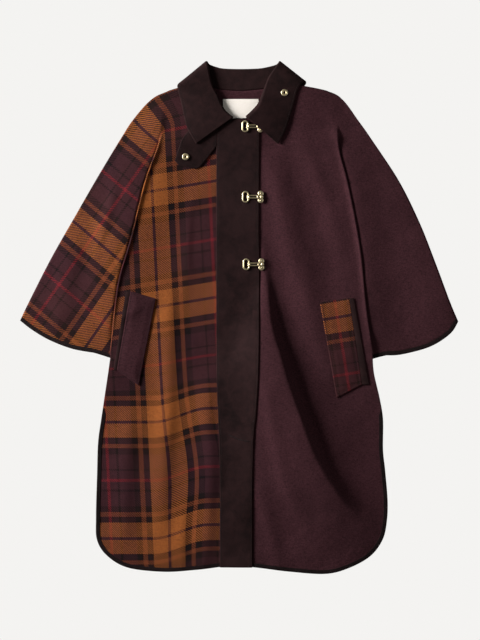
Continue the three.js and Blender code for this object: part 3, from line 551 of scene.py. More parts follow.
def brushed_nap():
    """Short wool fibres: fine flecks, drawn-out streaks, patches, small tufts and slow changes of shade."""
    tree, given, out = group(
        "Brushed nap",
        [("Place", "Vector", None), ("Fibre", "Float", 1.0), ("Tufts", "Float", 1.0)],
        [(name, "Float") for name in ("Fleck", "Shade", "Streak", "Patch", "Height")])
    scaled = {0: given["Place"], "Scale": given["Fibre"]}
    place = put(tree, "VectorMath", scaled, operation="SCALE").outputs[0]
    lying = put(tree, "Mapping", {"Vector": place, "Rotation": (0, 0, 0.5), "Scale": (2.6, 0.8, 1.0)})
    drawn = put(tree, "Mapping", {"Vector": place, "Rotation": (0, 0, -0.12), "Scale": (0.5, 1.0, 1.0)})
    flecks = noise(tree, place, 620.0, 3.0, 0.62)
    fibres = noise(tree, lying.outputs[0], 340.0, 4.0, 0.7, 0.6)
    tufts = noise(tree, place, 95.0, 2.0)
    slow = noise(tree, given["Place"], 7.0, 3.0, 0.55)
    streaks = noise(tree, drawn.outputs[0], 420.0, 3.0, 0.6, 0.4)
    patches = noise(tree, given["Place"], 60.0, 4.0, 0.6, 0.5)
    both = blended(tree, fibres, flecks, 0.5)
    tree.links.new(ranged(tree, both, 0.36, 0.66), out["Fleck"])
    tree.links.new(ranged(tree, slow, 0.3, 0.7), out["Shade"])
    tree.links.new(ranged(tree, streaks, 0.34, 0.66), out["Streak"])
    tree.links.new(ranged(tree, patches, 0.35, 0.68), out["Patch"])
    tree.links.new(sums(tree, "MULTIPLY_ADD", tufts, given["Tufts"], both), out["Height"])
    return tree


def arched(tree, turns):
    """One round back for each whole turn, as of a thread or a rib."""
    return sums(tree, "SINE", sums(tree, "MULTIPLY", sums(tree, "FRACT", turns), math.pi))


def two_colour_twill():
    """A 2/2 twill of a warp and a weft colour, thread by thread."""
    tree, given, out = group(
        "Two-colour twill",
        [("Across", "Float", 0.0), ("Along", "Float", 0.0), ("Warp", "Color", None),
         ("Weft", "Color", None)],
        [("Colour", "Color"), ("Height", "Float"), ("Warp on top", "Float")])
    across, along = given["Across"], given["Along"]
    step = sums(tree, "ADD", sums(tree, "FLOOR", across), sums(tree, "FLOOR", along))
    warp_up = sums(tree, "LESS_THAN", sums(tree, "FLOORED_MODULO", step, 4.0), 1.5)
    tree.links.new(mixed(tree, warp_up, given["Weft"], given["Warp"]), out["Colour"])
    warp_round, weft_round = arched(tree, across), arched(tree, along)
    rounds = {"Factor": warp_up, 2: weft_round, 3: warp_round}
    tree.links.new(put(tree, "Mix", rounds, data_type="FLOAT").outputs[0], out["Height"])
    tree.links.new(warp_up, out["Warp on top"])
    return tree


def cord_ribs():
    """Fine cut-pile ribs that run along the cloth."""
    tree, given, out = group(
        "Cord ribs", [("Across", "Float", 0.0), ("Pitch", "Float", 0.0018)],
        [("Rib", "Float")])
    arch = arched(tree, sums(tree, "DIVIDE", given["Across"], given["Pitch"]))
    tree.links.new(sums(tree, "POWER", sums(tree, "ABSOLUTE", arch), 0.6), out["Rib"])
    return tree


def handling_wear():
    """Where a surface has been rubbed: its raised edges, broken up by a blotchy noise."""
    tree, given, out = group(
        "Handling wear", [("Place", "Vector", None), ("Size", "Float", 300.0), ("Amount", "Float", 0.5)],
        [("Rubbed", "Float"), ("Blotch", "Float")])
    edges = ranged(tree, put(tree, "NewGeometry").outputs["Pointiness"], 0.5, 0.62)
    blotch = noise(tree, given["Place"], given["Size"], 4.0)
    broken = sums(tree, "MULTIPLY", edges, ranged(tree, blotch, 0.3, 0.6))
    tree.links.new(sums(tree, "MULTIPLY", broken, given["Amount"], clamp=True), out["Rubbed"])
    tree.links.new(blotch, out["Blotch"])
    return tree


NAP, TWILL, RIBS, WEAR = brushed_nap(), two_colour_twill(), cord_ribs(), handling_wear()


def placed_group(tree, shared, inputs):
    return put(tree, "Group", inputs, node_tree=shared).outputs


def new_material(name, **sockets):
    material = bpy.data.materials.new(name)
    material.use_nodes = True
    tree = material.node_tree
    shader = tree.nodes["Principled BSDF"]
    for key, value in sockets.items():
        shader.inputs[key.replace("_", " ")].default_value = value
    place = put(tree, "TexCoord").outputs["Object"]
    return material, tree, shader.inputs, place


def raised(tree, inputs, height, strength, distance):
    bump = put(tree, "Bump", {"Height": height, "Strength": strength, "Distance": distance})
    tree.links.new(bump.outputs[0], inputs["Normal"])


def grain_of(tree):
    """Place across and along the flat cloth, in metres."""
    grain = put(tree, "UVMap", uv_map="Grain").outputs[0]
    parts = put(tree, "SeparateXYZ", {0: grain}).outputs
    return parts[0], parts[1]


WARP_SHIFT, WEFT_SHIFT = 0.031, 0.118  # metres from the middle of the ochre band to the crest's top


def plain_wool():
    material, tree, inputs, place = new_material(
        "Plain brushed wool", Sheen_Weight=0.1, Sheen_Roughness=0.5, Sheen_Tint=linear(160, 104, 112),
        Specular_IOR_Level=0.08)
    nap = placed_group(tree, NAP, {"Place": place, "Fibre": 1.0, "Tufts": 0.5})
    threads = [sums(tree, "DIVIDE", value, THREAD_PITCH) for value in grain_of(tree)]
    weave = placed_group(tree, TWILL, {"Across": threads[0], "Along": threads[1]})
    melange = blended(tree, nap["Streak"], nap["Fleck"], 0.35)
    base = mixed(tree, melange, linear(26, 13, 15), linear(79, 44, 50))
    # painted shade: the wool darkens towards linear(20, 9, 11) where the weave's threads dip between each
    # other
    weave_painted_shade = mixed(tree, ranged(tree, weave["Height"], 0, 1, 0.2, 0), base, linear(20, 9, 11))
    shaded = mixed(tree, ranged(tree, nap["Shade"], 0, 1, 0.0, 0.22), weave_painted_shade, linear(30, 13, 16))
    tree.links.new(shaded, inputs["Base Color"])
    tree.links.new(ranged(tree, nap["Fleck"], 0, 1, 0.96, 0.84), inputs["Roughness"])
    height = sums(tree, "MULTIPLY_ADD", weave["Height"], 0.35, nap["Height"])
    raised(tree, inputs, height, 0.5, 0.0007)
    return material


# The check from the middle of its broad ochre band, as widths in mm and colours, to the middle of the
# aubergine block, after which it runs back.
OCHRE, RUST, NIGHT = linear(180, 104, 48), linear(138, 72, 42), linear(13, 12, 16)
AUBERGINE, CRIMSON = linear(66, 34, 42), linear(136, 34, 46)
CHECK = [(3, AUBERGINE), (27, OCHRE), (12, NIGHT), (8, RUST), (12, NIGHT), (28, AUBERGINE), (4, NIGHT),
         (15, AUBERGINE), (3, CRIMSON)]


def check_colours(tree, place, shift):
    """The colour of the threads at a place across the check."""
    half = sum(width for width, _ in CHECK) * MM
    turned = sums(tree, "PINGPONG", sums(tree, "ADD", place, shift), half)
    ramp = put(tree, "ValToRGB", {0: sums(tree, "DIVIDE", turned, half)})
    stops = ramp.color_ramp
    stops.interpolation = "CONSTANT"
    start = 0.0
    for i, (width, colour) in enumerate(CHECK):
        stop = stops.elements[i] if i < 2 else stops.elements.new(start)
        stop.position = start
        start += width * MM / half
    for stop, (_, colour) in zip(sorted(stops.elements, key=lambda e: e.position), CHECK):
        stop.color = colour
    return ramp.outputs[0]


def plaid_wool():
    material, tree, inputs, place = new_material(
        "Checked wool twill", Sheen_Weight=0.08, Sheen_Roughness=0.5, Sheen_Tint=linear(210, 160, 120),
        Specular_IOR_Level=0.08)
    threads = [sums(tree, "DIVIDE", value, THREAD_PITCH) for value in grain_of(tree)]
    whole = [sums(tree, "MULTIPLY", sums(tree, "ADD", sums(tree, "FLOOR", t), 0.5), THREAD_PITCH)
             for t in threads]
    weave = placed_group(tree, TWILL, {
        "Across": threads[0], "Along": threads[1],
        "Warp": check_colours(tree, whole[0], WARP_SHIFT),
        "Weft": check_colours(tree, whole[1], WEFT_SHIFT)})
    nap = placed_group(tree, NAP, {"Place": place, "Fibre": 1.0, "Tufts": 0.4})
    dusky = mixed(tree, 1.0, weave["Colour"], linear(150, 140, 140), "MULTIPLY")
    melange = blended(tree, nap["Streak"], nap["Fleck"], 0.3)
    fibres = mixed(tree, melange, dusky, weave["Colour"])
    # painted shade: the check darkens towards linear(24, 16, 18) in the hollows between the threads
    hollow_painted_shade = mixed(tree, ranged(tree, weave["Height"], 0, 1, 0.35, 0), fibres, linear(24, 16, 18))
    faded = mixed(tree, ranged(tree, nap["Shade"], 0, 1, 0.0, 0.12), hollow_painted_shade, linear(92, 52, 40))
    tree.links.new(faded, inputs["Base Color"])
    tree.links.new(ranged(tree, nap["Fleck"], 0, 1, 0.95, 0.82), inputs["Roughness"])
    raised(tree, inputs, sums(tree, "MULTIPLY_ADD", weave["Height"], 0.8, nap["Height"]), 0.55, 0.0007)
    return material


def corduroy(name, dark, light, pitch):
    material, tree, inputs, place = new_material(
        name, Sheen_Weight=0.1, Sheen_Roughness=0.45, Sheen_Tint=linear(140, 96, 88),
        Specular_IOR_Level=0.08)
    across, _ = grain_of(tree)
    ribs = placed_group(tree, RIBS, {"Across": across, "Pitch": pitch})
    nap = placed_group(tree, NAP, {"Place": place, "Fibre": 1.4, "Tufts": 0.3})
    brushed_up = blended(tree, nap["Patch"], nap["Fleck"], 0.5)
    pile = mixed(tree, brushed_up, dark, light)
    # painted shade: the pile darkens towards linear(10, 6, 6) in the hollows between the ribs
    cut = mixed(tree, ranged(tree, ribs["Rib"], 0, 1, 0.55, 0), pile, linear(10, 6, 6))
    brushed = mixed(tree, ranged(tree, nap["Shade"], 0.2, 0.9, 0.0, 0.4), cut, light)
    tree.links.new(brushed, inputs["Base Color"])
    tree.links.new(ranged(tree, nap["Shade"], 0, 1, 0.92, 0.78), inputs["Roughness"])
    raised(tree, inputs, sums(tree, "MULTIPLY_ADD", nap["Height"], 0.35, ribs["Rib"]), 0.5, 0.0006)
    return material


def label_cloth():
    """Bare satin with fine threads."""
    material, tree, inputs, place = new_material(
        "Bare satin label", Sheen_Weight=0.1, Specular_IOR_Level=0.5, Roughness=0.5)
    across, along = grain_of(tree)
    weave = placed_group(tree, TWILL, {
        "Across": sums(tree, "DIVIDE", across, 0.0004), "Along": sums(tree, "DIVIDE", along, 0.0006)})
    nap = placed_group(tree, NAP, {"Place": place, "Fibre": 2.0, "Tufts": 0.2})
    thread = mixed(tree, weave["Warp on top"], linear(236, 226, 214), linear(246, 240, 232))
    soiled = mixed(tree, ranged(tree, nap["Fleck"], 0, 1, 0.14, 0), thread, linear(196, 178, 160))
    tree.links.new(soiled, inputs["Base Color"])
    tree.links.new(ranged(tree, nap["Shade"], 0, 1, 0.42, 0.6), inputs["Roughness"])
    raised(tree, inputs, weave["Height"], 0.25, 0.0003)
    return material


def brass():
    material, tree, inputs, place = new_material(
        "Pale rubbed brass", Metallic=1.0, Specular_IOR_Level=0.5)
    wear = placed_group(tree, WEAR, {"Place": place, "Size": 420.0, "Amount": 0.8})
    tarnish = ranged(tree, wear["Blotch"], 0.35, 0.7)
    aged = mixed(tree, tarnish, linear(226, 210, 168), linear(196, 174, 122))
    bright = mixed(tree, wear["Rubbed"], aged, linear(250, 242, 216))
    tree.links.new(bright, inputs["Base Color"])
    tree.links.new(ranged(tree, wear["Blotch"], 0.3, 0.7, 0.36, 0.5), inputs["Roughness"])
    raised(tree, inputs, wear["Blotch"], 0.08, 0.0003)
    return material


def sewing_thread(name, colour, pale):
    material, tree, inputs, place = new_material(name, Sheen_Weight=0.05, Specular_IOR_Level=0.1)
    nap = placed_group(tree, NAP, {"Place": place, "Fibre": 3.0, "Tufts": 0.2})
    tree.links.new(mixed(tree, nap["Fleck"], colour, pale), inputs["Base Color"])
    tree.links.new(ranged(tree, nap["Fleck"], 0, 1, 0.7, 0.5), inputs["Roughness"])
    raised(tree, inputs, nap["Height"], 0.4, 0.0002)
    return material


PLAIN = plain_wool()
PLAID = plaid_wool()
CORD_DARK = corduroy("Fine dark corduroy", linear(8, 4, 4), linear(46, 27, 27), 0.0017)
BIND_DARK = corduroy("Dark binding", linear(14, 9, 10), linear(30, 20, 20), 0.0012)
LABEL_CLOTH = label_cloth()
BRASS = brass()
DARK_THREAD = sewing_thread("Dark thread", linear(13, 9, 10), linear(34, 24, 23))
# black thread for the bar tack, thick and dark so that it also paints the shadow line of the placket's
# crease
BAR_TACK_SHADOW_THREAD = sewing_thread("Black thread painted as crease shadow", linear(6, 4, 4), linear(16, 11, 11))
PALE_THREAD = sewing_thread("Pale thread", linear(200, 188, 170), linear(240, 232, 220))

# Panels


def shares(count):
    return np.linspace(0, 1, count + 1)


# Shares of a front at which its grid of threads lies, closer together towards the underarm fold
BODY_ACROSS = 1 - (1 - shares(104)) ** 1.15
UPPER_DOWN, LOWER_DOWN = shares(132), shares(112)
SLEEVE_ACROSS = shares(54)

PANEL_EDGE = BIND_WIDTH - BIND_OVER
CUFF_CORNER = 0.93  # share of the cuff at which its corner begins
CUFF_TAPER = 1 / 6  # share of the cuff over which its panel is cut back for the binding
VENT_TAPER = 0.025  # share of the hem over which its binding widens from the vent
NECK_PART = 4 / 18  # share of a front's inner edge that follows the neck
INNER_SPACING = 1.25  # draws the inner edge's points together below the neck
SEAM_FOOT = 391  # above this y a front's neckline follows the collar's seam


def hem_inside(half):
    start = VENT * half["corner"]
    return inset(spline(half["hem"]),
                 lambda share: -half["side"] * PANEL_EDGE * smooth(share, start, start + VENT_TAPER))


def cuff_outside(half, start):
    return spline([tuple(start)] + half["cuff"])


def cuff_lean(half):
    """How far the cuff's end leans along the cuff for each mm inwards, so that it follows the overarm."""
    corner, before, arm = (np.array(p, float) for p in (*half["cuff"][:-3:-1], half["overarm"][-1]))
    ahead = (corner - before) / np.linalg.norm(corner - before)
    inward = half["side"] * np.array([-ahead[1], ahead[0]])
    return ahead * ((arm - corner) @ ahead) / ((arm - corner) @ inward)


def cuff_inside(half, start):
    edge = inset(cuff_outside(half, start),
                 lambda share: half["side"] * PANEL_EDGE * smooth(share, 0, CUFF_TAPER))
    lean = PANEL_EDGE * cuff_lean(half)
    return lambda share: edge(share) + smooth(share, CUFF_CORNER, 1)[..., None] * lean


def sleeve_start(half):
    x, y = half["hem"][0]
    outward = np.array(half["overarm"][-1], float) - (x, y)
    return np.array([x, y]) + outward / np.linalg.norm(outward) * fold_section(half, y)[0][-1]


def shoulder_line(name, cuff_end):
    """The outline in three parts: neck point to crest, crest to sleeve, and overarm down to the cuff."""
    half, steps = HALVES[name], 24
    points = [NECK_POINT[name], half["crest"][0]] + half["overarm"] + [tuple(cuff_end)]
    line = smooth_points(points, steps)
    return polyline(line[:steps + 1]), polyline(line[steps:2 * steps + 1]), polyline(line[2 * steps:])


def neckline(name):
    side = HALVES[name]["side"]
    seams = [(x, y) for front, x, y, *_ in COLLAR if front == 1 and x * side > 0 and y > SEAM_FOOT]
    last = (INNER_EDGE["right"], 384) if name == "right" else (20, 380)
    return [NECK_POINT[name]] + sorted(seams, key=lambda seam: -seam[1]) + [last]


# Rotation of the cloth's threads on the body and on the sleeve, which turn into each other round the
# top of the underarm fold.
WARP_TURN = (math.radians(2.7), math.radians(50))
WEFT_TURN = (math.radians(9.5), math.radians(55))


def checked_grain(half, xy, on_sleeve):
    """Place on the flat cloth. on_sleeve is 0 for the body, 1 for the sleeve, and between in the fold."""
    at = xy - half["crest"][1]
    bearing = np.arctan2(at[..., 1], at[..., 0])
    places = []
    for angle in (bearing, np.mod(bearing, 2 * math.pi)):
        turned = smooth(angle, math.radians(-20), math.radians(205))
        warp, weft = (lerp(*turn, turned) for turn in (WARP_TURN, WEFT_TURN))
        places.append(np.stack([at[..., 0] * np.cos(warp) + at[..., 1] * np.sin(warp),
                                at[..., 1] * np.cos(weft) - at[..., 0] * np.sin(weft)], axis=-1))
    # below the pocket the body's weft lies level, climbs over a fold, and lies level again
    x, y = xy[..., 0], xy[..., 1]
    low = smooth(-y, 40, 170)
    level = low * (at[..., 0] * math.sin(WEFT_TURN[0]) - 27 * smooth(x, -168, -58))
    aside = 15 * np.exp(-(((y + 300) / 105) ** 2)) * smooth(x, -190, -80)
    places[0] = places[0] + np.stack([-aside, level], axis=-1)
    return lerp(places[0], places[1], np.asarray(on_sleeve)[..., None])


def front_panel(name, material, slot):
    half = HALVES[name]
    flip = half["side"] < 0
    inner, underarm = INNER_EDGE[name], half["hem"][0]
    neck = neckline(name)
    corner = neck[-1]
    crest = spline(half["crest"])
    inner_top = corner if name == "right" else (inner, 377)
    neck_curve = spline(neck) if name == "right" else chain(
        (spline(neck), 0.7), (polyline([corner, inner_top]), 0.3))
    straight = polyline([inner_top, (inner, underarm[1])])
    inner_edge = chain((neck_curve, NECK_PART),
                       (lambda share: straight(share**INNER_SPACING), 1 - NECK_PART))
    middle = polyline([(inner, underarm[1]), underarm])
    cuff = cuff_inside(half, sleeve_start(half))
    cuff_end = cuff(np.array(1.0))
    shoulder, sleeve_top, overarm = shoulder_line(name, cuff_end)
    upper = patch(shoulder, middle, inner_edge, crest, BODY_ACROSS, UPPER_DOWN)
    edge, split = hem_inside(half), half["corner"]
    lower = patch(middle, lambda share: edge(1 + (split - 1) * share),
                  polyline([(inner, underarm[1]), edge(np.array(1.0))]),
                  lambda share: edge(split * share), BODY_ACROSS, LOWER_DOWN)
    cloth = Cloth()
    for xy in (upper, lower):
        cloth.add(laid_on(lambda x, y: body_mid(half, x, y), xy), checked_grain(half, xy, 0), flip)

    # the underarm fold
    starts = upper[:, -1]
    aim = overarm(UPPER_DOWN) + (half["overarm"][-1] - cuff_end) * smooth(UPPER_DOWN, 0.9, 1)[:, None]
    outward = aim - starts
    outward /= np.linalg.norm(outward, axis=1, keepdims=True)
    out, drop = fold_section(half, starts[:, 1])
    strip = starts[:, None] + outward[:, None] * out.T[..., None]
    heights = low_mid(strip[..., 0], strip[..., 1]) + (drop[-1] - drop).T
    heights[:, 0] = body_mid(half, starts[:, 0], starts[:, 1])
    turned = np.broadcast_to(shares(strip.shape[1] - 1), strip.shape[:2])
    cloth.add(with_heights(strip, heights), checked_grain(half, strip, turned), flip)

    # the sleeve
    ends = strip[:, -1]

    def strip_end(share):
        return np.stack([np.interp(share, UPPER_DOWN, ends[:, i]) for i in (0, 1)], axis=-1)

    passed = out[-1, 0] / np.linalg.norm(sleeve_top(1.0) - sleeve_top(0.0))

    def top_edge(share):
        left = (1 - np.asarray(share, float))[..., None]
        return sleeve_top(lerp(passed, 1, share)) + (ends[0] - sleeve_top(passed)) * left**3

    sleeve = patch(top_edge, cuff, strip_end, overarm, SLEEVE_ACROSS, UPPER_DOWN)
    sleeve[:, 0] = ends
    cloth.add(laid_on(low_mid, sleeve), checked_grain(half, sleeve, 1), flip)
    return cloth.made("front_" + name + "_cloth", WOOL, material, slot, rounded=False)


def back_panel():
    right, left = HALVES["right"], HALVES["left"]
    back_neck = [(x, y) for front, x, y, *_ in COLLAR if front == 0]
    cuffs = {name: cuff_inside(half, half["hem"][0]) for name, half in HALVES.items()}
    outlines = {name: shoulder_line(name, cuff(np.array(1.0))) for name, cuff in cuffs.items()}
    top = chain((lambda share: outlines["right"][0](1 - share), 0.2),
                (spline([NECK_POINT["right"]] + back_neck + [NECK_POINT["left"]]), 0.5),
                (outlines["left"][0], 0.3))
    middle = polyline([right["hem"][0], left["hem"][0]])
    edges = {name: hem_inside(half) for name, half in HALVES.items()}
    bottom = chain(
        (lambda share: edges["right"](right["corner"] + (1 - right["corner"]) * share), 0.5),
        (lambda share: edges["left"](1 + (left["corner"] - 1) * share), 0.5))
    across, down = shares(150), shares(90)
    cloth = Cloth()
    upper = patch(top, middle, spline(right["crest"]), spline(left["crest"]), across, down)
    lower = patch(middle, bottom, lambda share: edges["right"](right["corner"] * share),
                  lambda share: edges["left"](left["corner"] * share), across, down)
    for xy in (upper, lower):
        cloth.add(laid_on(back_mid, xy))
    for name, half in HALVES.items():
        _, sleeve_top, overarm = outlines[name]
        xy = patch(sleeve_top, cuffs[name], spline(half["crest"]), overarm, shares(44), down)
        cloth.add(laid_on(back_mid, xy), flip=half["side"] < 0)
    return cloth.made("back_cloth", WOOL, PLAIN, "plain_wool", rounded=False)


# Stitches

STITCH_END = 0.16  # how far round its swell a stitch comes out of the cloth, in radians
STITCH_PROUD = 0.12


def stitches(name, lines, material, length=2.6, gap=0.8, radius=0.32):
    """Short thread loops that lie along lines of points, a little proud of the cloth."""
    rings, sides = 5, 6
    swell = np.sin(np.linspace(STITCH_END, math.pi - STITCH_END, rings))
    along = np.linspace(-0.5, 0.5, rings) * length
    around = np.arange(sides) * 2 * math.pi / sides
    points, faces = [], []
    for line in lines:
        line = np.asarray(line, float)
        run = np.concatenate([[0], np.cumsum(np.linalg.norm(np.diff(line, axis=0), axis=1))])
        middles = np.arange((length + gap) / 2, run[-1] - length / 2, length + gap)
        at = [np.stack([np.interp(middles + by, run, line[:, i]) for i in range(3)], axis=-1)
              for by in (-length / 2, 0, length / 2)]
        ahead = at[2] - at[0]
        ahead /= np.maximum(np.linalg.norm(ahead, axis=1, keepdims=True), 1e-9)
        aside = np.cross(ahead, (0, 0, 1))
        aside /= np.maximum(np.linalg.norm(aside, axis=1, keepdims=True), 1e-9)
        up = np.cross(aside, ahead)
        for centre, a, s, u in zip(at[1], ahead, aside, up):
            first = len(points)
            for place, size in zip(along, swell):
                for turn in around:
                    points.append(centre + a * place + s * radius * size * math.cos(turn)
                                  + u * (radius * size * math.sin(turn) + STITCH_PROUD * size))
            for r in range(rings - 1):
                for k in range(sides):
                    b = first + r * sides
                    faces.append([b + k, b + (k + 1) % sides, b + sides + (k + 1) % sides, b + sides + k])
            faces.append([first + k for k in reversed(range(sides))])
            faces.append([first + (rings - 1) * sides + k for k in range(sides)])
    return made_mesh(name, points, faces, material)


# Bindings

# Upper half of a binding's section, a strip folded round the raw edge: place across it from its outer
# edge, and height, in mm, outside and inside. The dip is where the machine stitch pulls it in.
BIND_HALF = [(0.0, 0.0), (0.12, 0.55), (0.5, 1.0), (1.3, 1.32), (2.6, 1.4), (4.4, 1.36), (5.1, 1.24),
             (5.55, 1.1), (6.0, 1.24), (6.6, 1.36), (7.3, 1.34), (7.75, 1.18), (7.95, 0.85)]
BIND_INSIDE = [(7.5, 0.72), (4.4, 0.7), (2.0, 0.66), (1.2, 0.4), (0.9, 0.0)]
BIND_STITCH, BIND_STITCH_HEIGHT = 5.55, 1.16
BIND_STATION = 1.05  # mm from section to section
BIND_POINT, BIND_OPENING = 0.35, 14  # share of its width at its start, and the mm over which it opens
CUFF_START = {"front": 0.06, "back": 0.1}  # share of the cuff at which its binding comes out


def puckered(run):
    """How the machine stitch puckers a binding, as a share of its height."""
    return 0.96 + (0.05 * np.sin(run * 0.9) + 0.04 * np.sin(run * 0.37 + 1))


def binding(name, curve, side, mid, start, end, lean):
    upper = BIND_HALF + BIND_INSIDE
    outline = upper + [(s, -h) for s, h in reversed(upper[1:-1])]
    span = np.linalg.norm(np.diff(curve(shares(400)), axis=0), axis=1).sum()
    count = int((end - start) * span / BIND_STATION)
    at = np.linspace(start, end, count)
    run = (at - start) * span
    open_part = lerp(BIND_POINT, 1.0, smooth(run, 0, BIND_OPENING))
    leaning = (open_part * smooth(at, CUFF_CORNER, 1))[:, None] * lean
    columns = []
    for s, h in outline:
        xy = inset(curve, lambda share, s=s: side * s * open_part)(at) + s * leaning
        columns.append(laid_on(mid, xy, h * puckered(run)))
    rings = np.stack(columns, axis=1)
    sides = len(outline)
    index = np.arange(count * sides).reshape(count, sides)
    after = np.roll(index, -1, axis=1)
    quads = np.stack([index[:-1], after[:-1], after[1:], index[1:]], axis=-1).reshape(-1, 4)
    if side < 0:
        quads = quads[:, ::-1]
    faces = quads.tolist() + [index[0].tolist()[::(-1 if side > 0 else 1)],
                              index[-1].tolist()[::(1 if side > 0 else -1)]]
    grain = np.stack(np.broadcast_arrays(run[:, None], np.array([s for s, _ in outline])[None]), axis=-1)
    piece = made_mesh(name, rings.reshape(-1, 3), faces, BIND_DARK, grain.reshape(-1, 2))
    stitch_xy = inset(curve, lambda share: side * BIND_STITCH * open_part)(at) + BIND_STITCH * leaning
    stitch = laid_on(mid, stitch_xy, BIND_STITCH_HEIGHT)
    length = float(np.linalg.norm(np.diff(rings[:, 0], axis=0), axis=1).sum()) * MM
    return piece, stitch, length


def share_at_x(curve, x, start):
    at = np.linspace(start, 1, 4000)
    return float(at[np.argmin(np.abs(curve(at)[:, 0] - x))])


def on_surface(x, y):
    return np.full(np.shape(x), BOUND / 2)


def bindings():
    seams = []
    for name, half in HALVES.items():
        side, corner, front = half["side"], half["corner"], "front_" + name + "_cloth"
        hem = spline(half["hem"])
        stop = PLACKET["left" if name == "right" else "right"][-1][0] + side * 0.3
        bound_from = VENT * corner
        rows = [
            ("hem_binding_" + name, hem, -side, lambda x, y, h=half: body_mid(h, x, y) + BIND_LIFT,
             bound_from, share_at_x(hem, stop, corner), front),
            ("hem_binding_back_" + name, hem, -side, on_surface,
             bound_from, share_at_x(hem, INNER_EDGE[name], corner), "back_cloth"),
            ("cuff_binding_" + name, cuff_outside(half, sleeve_start(half)), side,
             lambda x, y: low_mid(x, y) + BIND_LIFT, CUFF_START["front"], 1.0, front),
            ("cuff_binding_back_" + name, cuff_outside(half, half["hem"][0]), side, on_surface,
             CUFF_START["back"], 1.0, "back_cloth"),
        ]
        for node, curve, side, mid, start, end, on in rows:
            lean = cuff_lean(half) if "cuff" in node else np.zeros(2)
            piece, seam, length = binding(node + "_cloth", curve, side, mid, start, end, lean)
            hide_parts(node)
            if "back" not in node:
                seams.append(seam)
    return stitches("binding_stitching", seams, DARK_THREAD, length=2.8, gap=0.9, radius=0.26)


# Pieces that lie on the fronts


def edge_shares(width, middle):
    """Shares across a piece, close together near both edges, where it is stitched."""
    near = np.array([0, 0.7, 1.4, 2.1, 2.7, 3.3, 4.0, 5.0, 6.5]) / width
    inside = np.linspace(near[-1], 1 - near[-1], middle)[1:-1]
    return np.concatenate([near, inside, 1 - near[::-1]])


def from_edge(share, width):
    return np.minimum(share, 1 - share) * width


EDGE_STITCH, COLLAR_STITCH = 2.9, 4.2  # from the edge to its row of stitches, in mm
PRESSED, PRESSED_OVER, GROOVE = 0.35, 1.4, 0.75  # depth and reach of a pressed edge, reach of a groove
SUNK, SUNK_COLLAR = 0.2, 0.1  # how far the stitches sink into the cloth


def stitched_relief(distance, depth=0.2, at=EDGE_STITCH):
    """A pressed edge and the groove that its stitches pull into the cloth."""
    groove = depth * np.exp(-(((distance - at) / GROOVE) ** 2))
    return -PRESSED * np.exp(-distance / PRESSED_OVER) - groove




def placket_curves():
    ends = [PLACKET["left"][-1], PLACKET["right"][-1]]
    return polyline(PLACKET["top"]), polyline(ends), spline(PLACKET["left"]), spline(PLACKET["right"])


# The placket's creases by its bar tack
PLACKET_FOLDS = [
    [(-30, -192, 0, 6, 5), (4, -212, 1.2, 6, 5), (28, -230, 0.8, 6, 5)],
    [(-10, -231, 0, 5, 6), (12, -240, 1.0, 5, 6), (27, -246, 0.6, 5, 6)],
]


def placket_mid(x, y):
    crease = sum(fold_height(x, y, fold) for fold in PLACKET_FOLDS)
    return front_mid(x, y) + WOOL / 2 + OVER + CORD / 2 + crease


FOOT_STITCH = 0.9962  # share of the placket's length at which its foot is stitched
# the bar tack's line, whose black stitches also paint the crease's shadow line
BAR_TACK_SHADOW_LINE = [(-20, -229), (0, -238), (22, -242)]


def placket():
    curves = placket_curves()
    across, down = edge_shares(PLACKET_WIDTH, 26), shares(330)
    xy = patch(*curves, across, down)
    relief = stitched_relief(from_edge(across, PLACKET_WIDTH))[None] * np.ones((len(down), 1))
    cloth = Cloth().add(laid_on(placket_mid, xy, relief))
    piece = cloth.made("placket_cloth", CORD, CORD_DARK, "corduroy")
    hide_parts("placket")
    sunk, proud = CORD / 2 - 0.22, CORD / 2 + 0.08
    at = EDGE_STITCH / PLACKET_WIDTH
    lines = [laid_on(placket_mid, patch(*curves, np.array([share]), shares(400))[4:-2, 0], sunk)
             for share in (at, 1 - at)]
    foot = patch(*curves, shares(60), np.array([FOOT_STITCH]))[0, 3:-3]
    lines.append(laid_on(placket_mid, foot, proud))
    stitches("placket_stitching", lines, DARK_THREAD)
    # painted shadow: partly a real bar tack, drawn thick and black to stand for the dark shadow line of the
    # crease
    tack = laid_on(placket_mid, spline(BAR_TACK_SHADOW_LINE)(shares(40)), proud)
    stitches("placket_bar_tack_painted_shadow", [tack], BAR_TACK_SHADOW_THREAD, length=2.2, gap=0.2, radius=0.75)


def flat_mid(thickness, lift=OVER):
    return lambda x, y: front_top(x, y) + lift + thickness / 2


TAB_GRAIN = np.array([[0.94, -0.34], [0.34, 0.94]])  # the ribs run down the tab


def throat_tab():
    curves = [polyline(TAB[key]) for key in ("top", "bottom", "left", "right")]
    across, down = edge_shares(TAB_WIDTH, 26), shares(64)
    xy = patch(*curves, across, down)
    mid = flat_mid(CORD)
    distance = np.minimum(from_edge(across, TAB_WIDTH)[None], ((1 - down) * TAB_LENGTH)[:, None])
    cloth = Cloth().add(laid_on(mid, xy, stitched_relief(distance)), grain=xy @ TAB_GRAIN.T)
    piece = cloth.hole(EYELETS["tab"], EYELET_HOLE).made("throat_tab_cloth", CORD, CORD_DARK, "corduroy")
    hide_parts("throat_tab")
    rim = np.concatenate([xy[6:-4, 4], xy[-4, 5:-5], xy[6:-4, -5][::-1]])
    stitches("tab_stitching", [laid_on(mid, rim, CORD / 2 - SUNK)], DARK_THREAD)


# Each welt's cloth, the lean of its threads in degrees, and its middle's place on the flat cloth
WELT_CLOTHS = {
    "right": (PLAIN, "plain_wool", -14.0, (0, 0)),
    "left": (PLAID, "plaid_wool", 9.4, (81, -174)),
}
WELT_PUFF = 0.9
FACING = 1.4  # thickness
FACING_ROLL = 0.5


def four_sided(a, b, c, d, across, down):
    """A grid between corners that run round it from its upper left."""
    return patch(polyline([a, b]), polyline([d, c]), polyline([a, d]), polyline([b, c]), across, down)


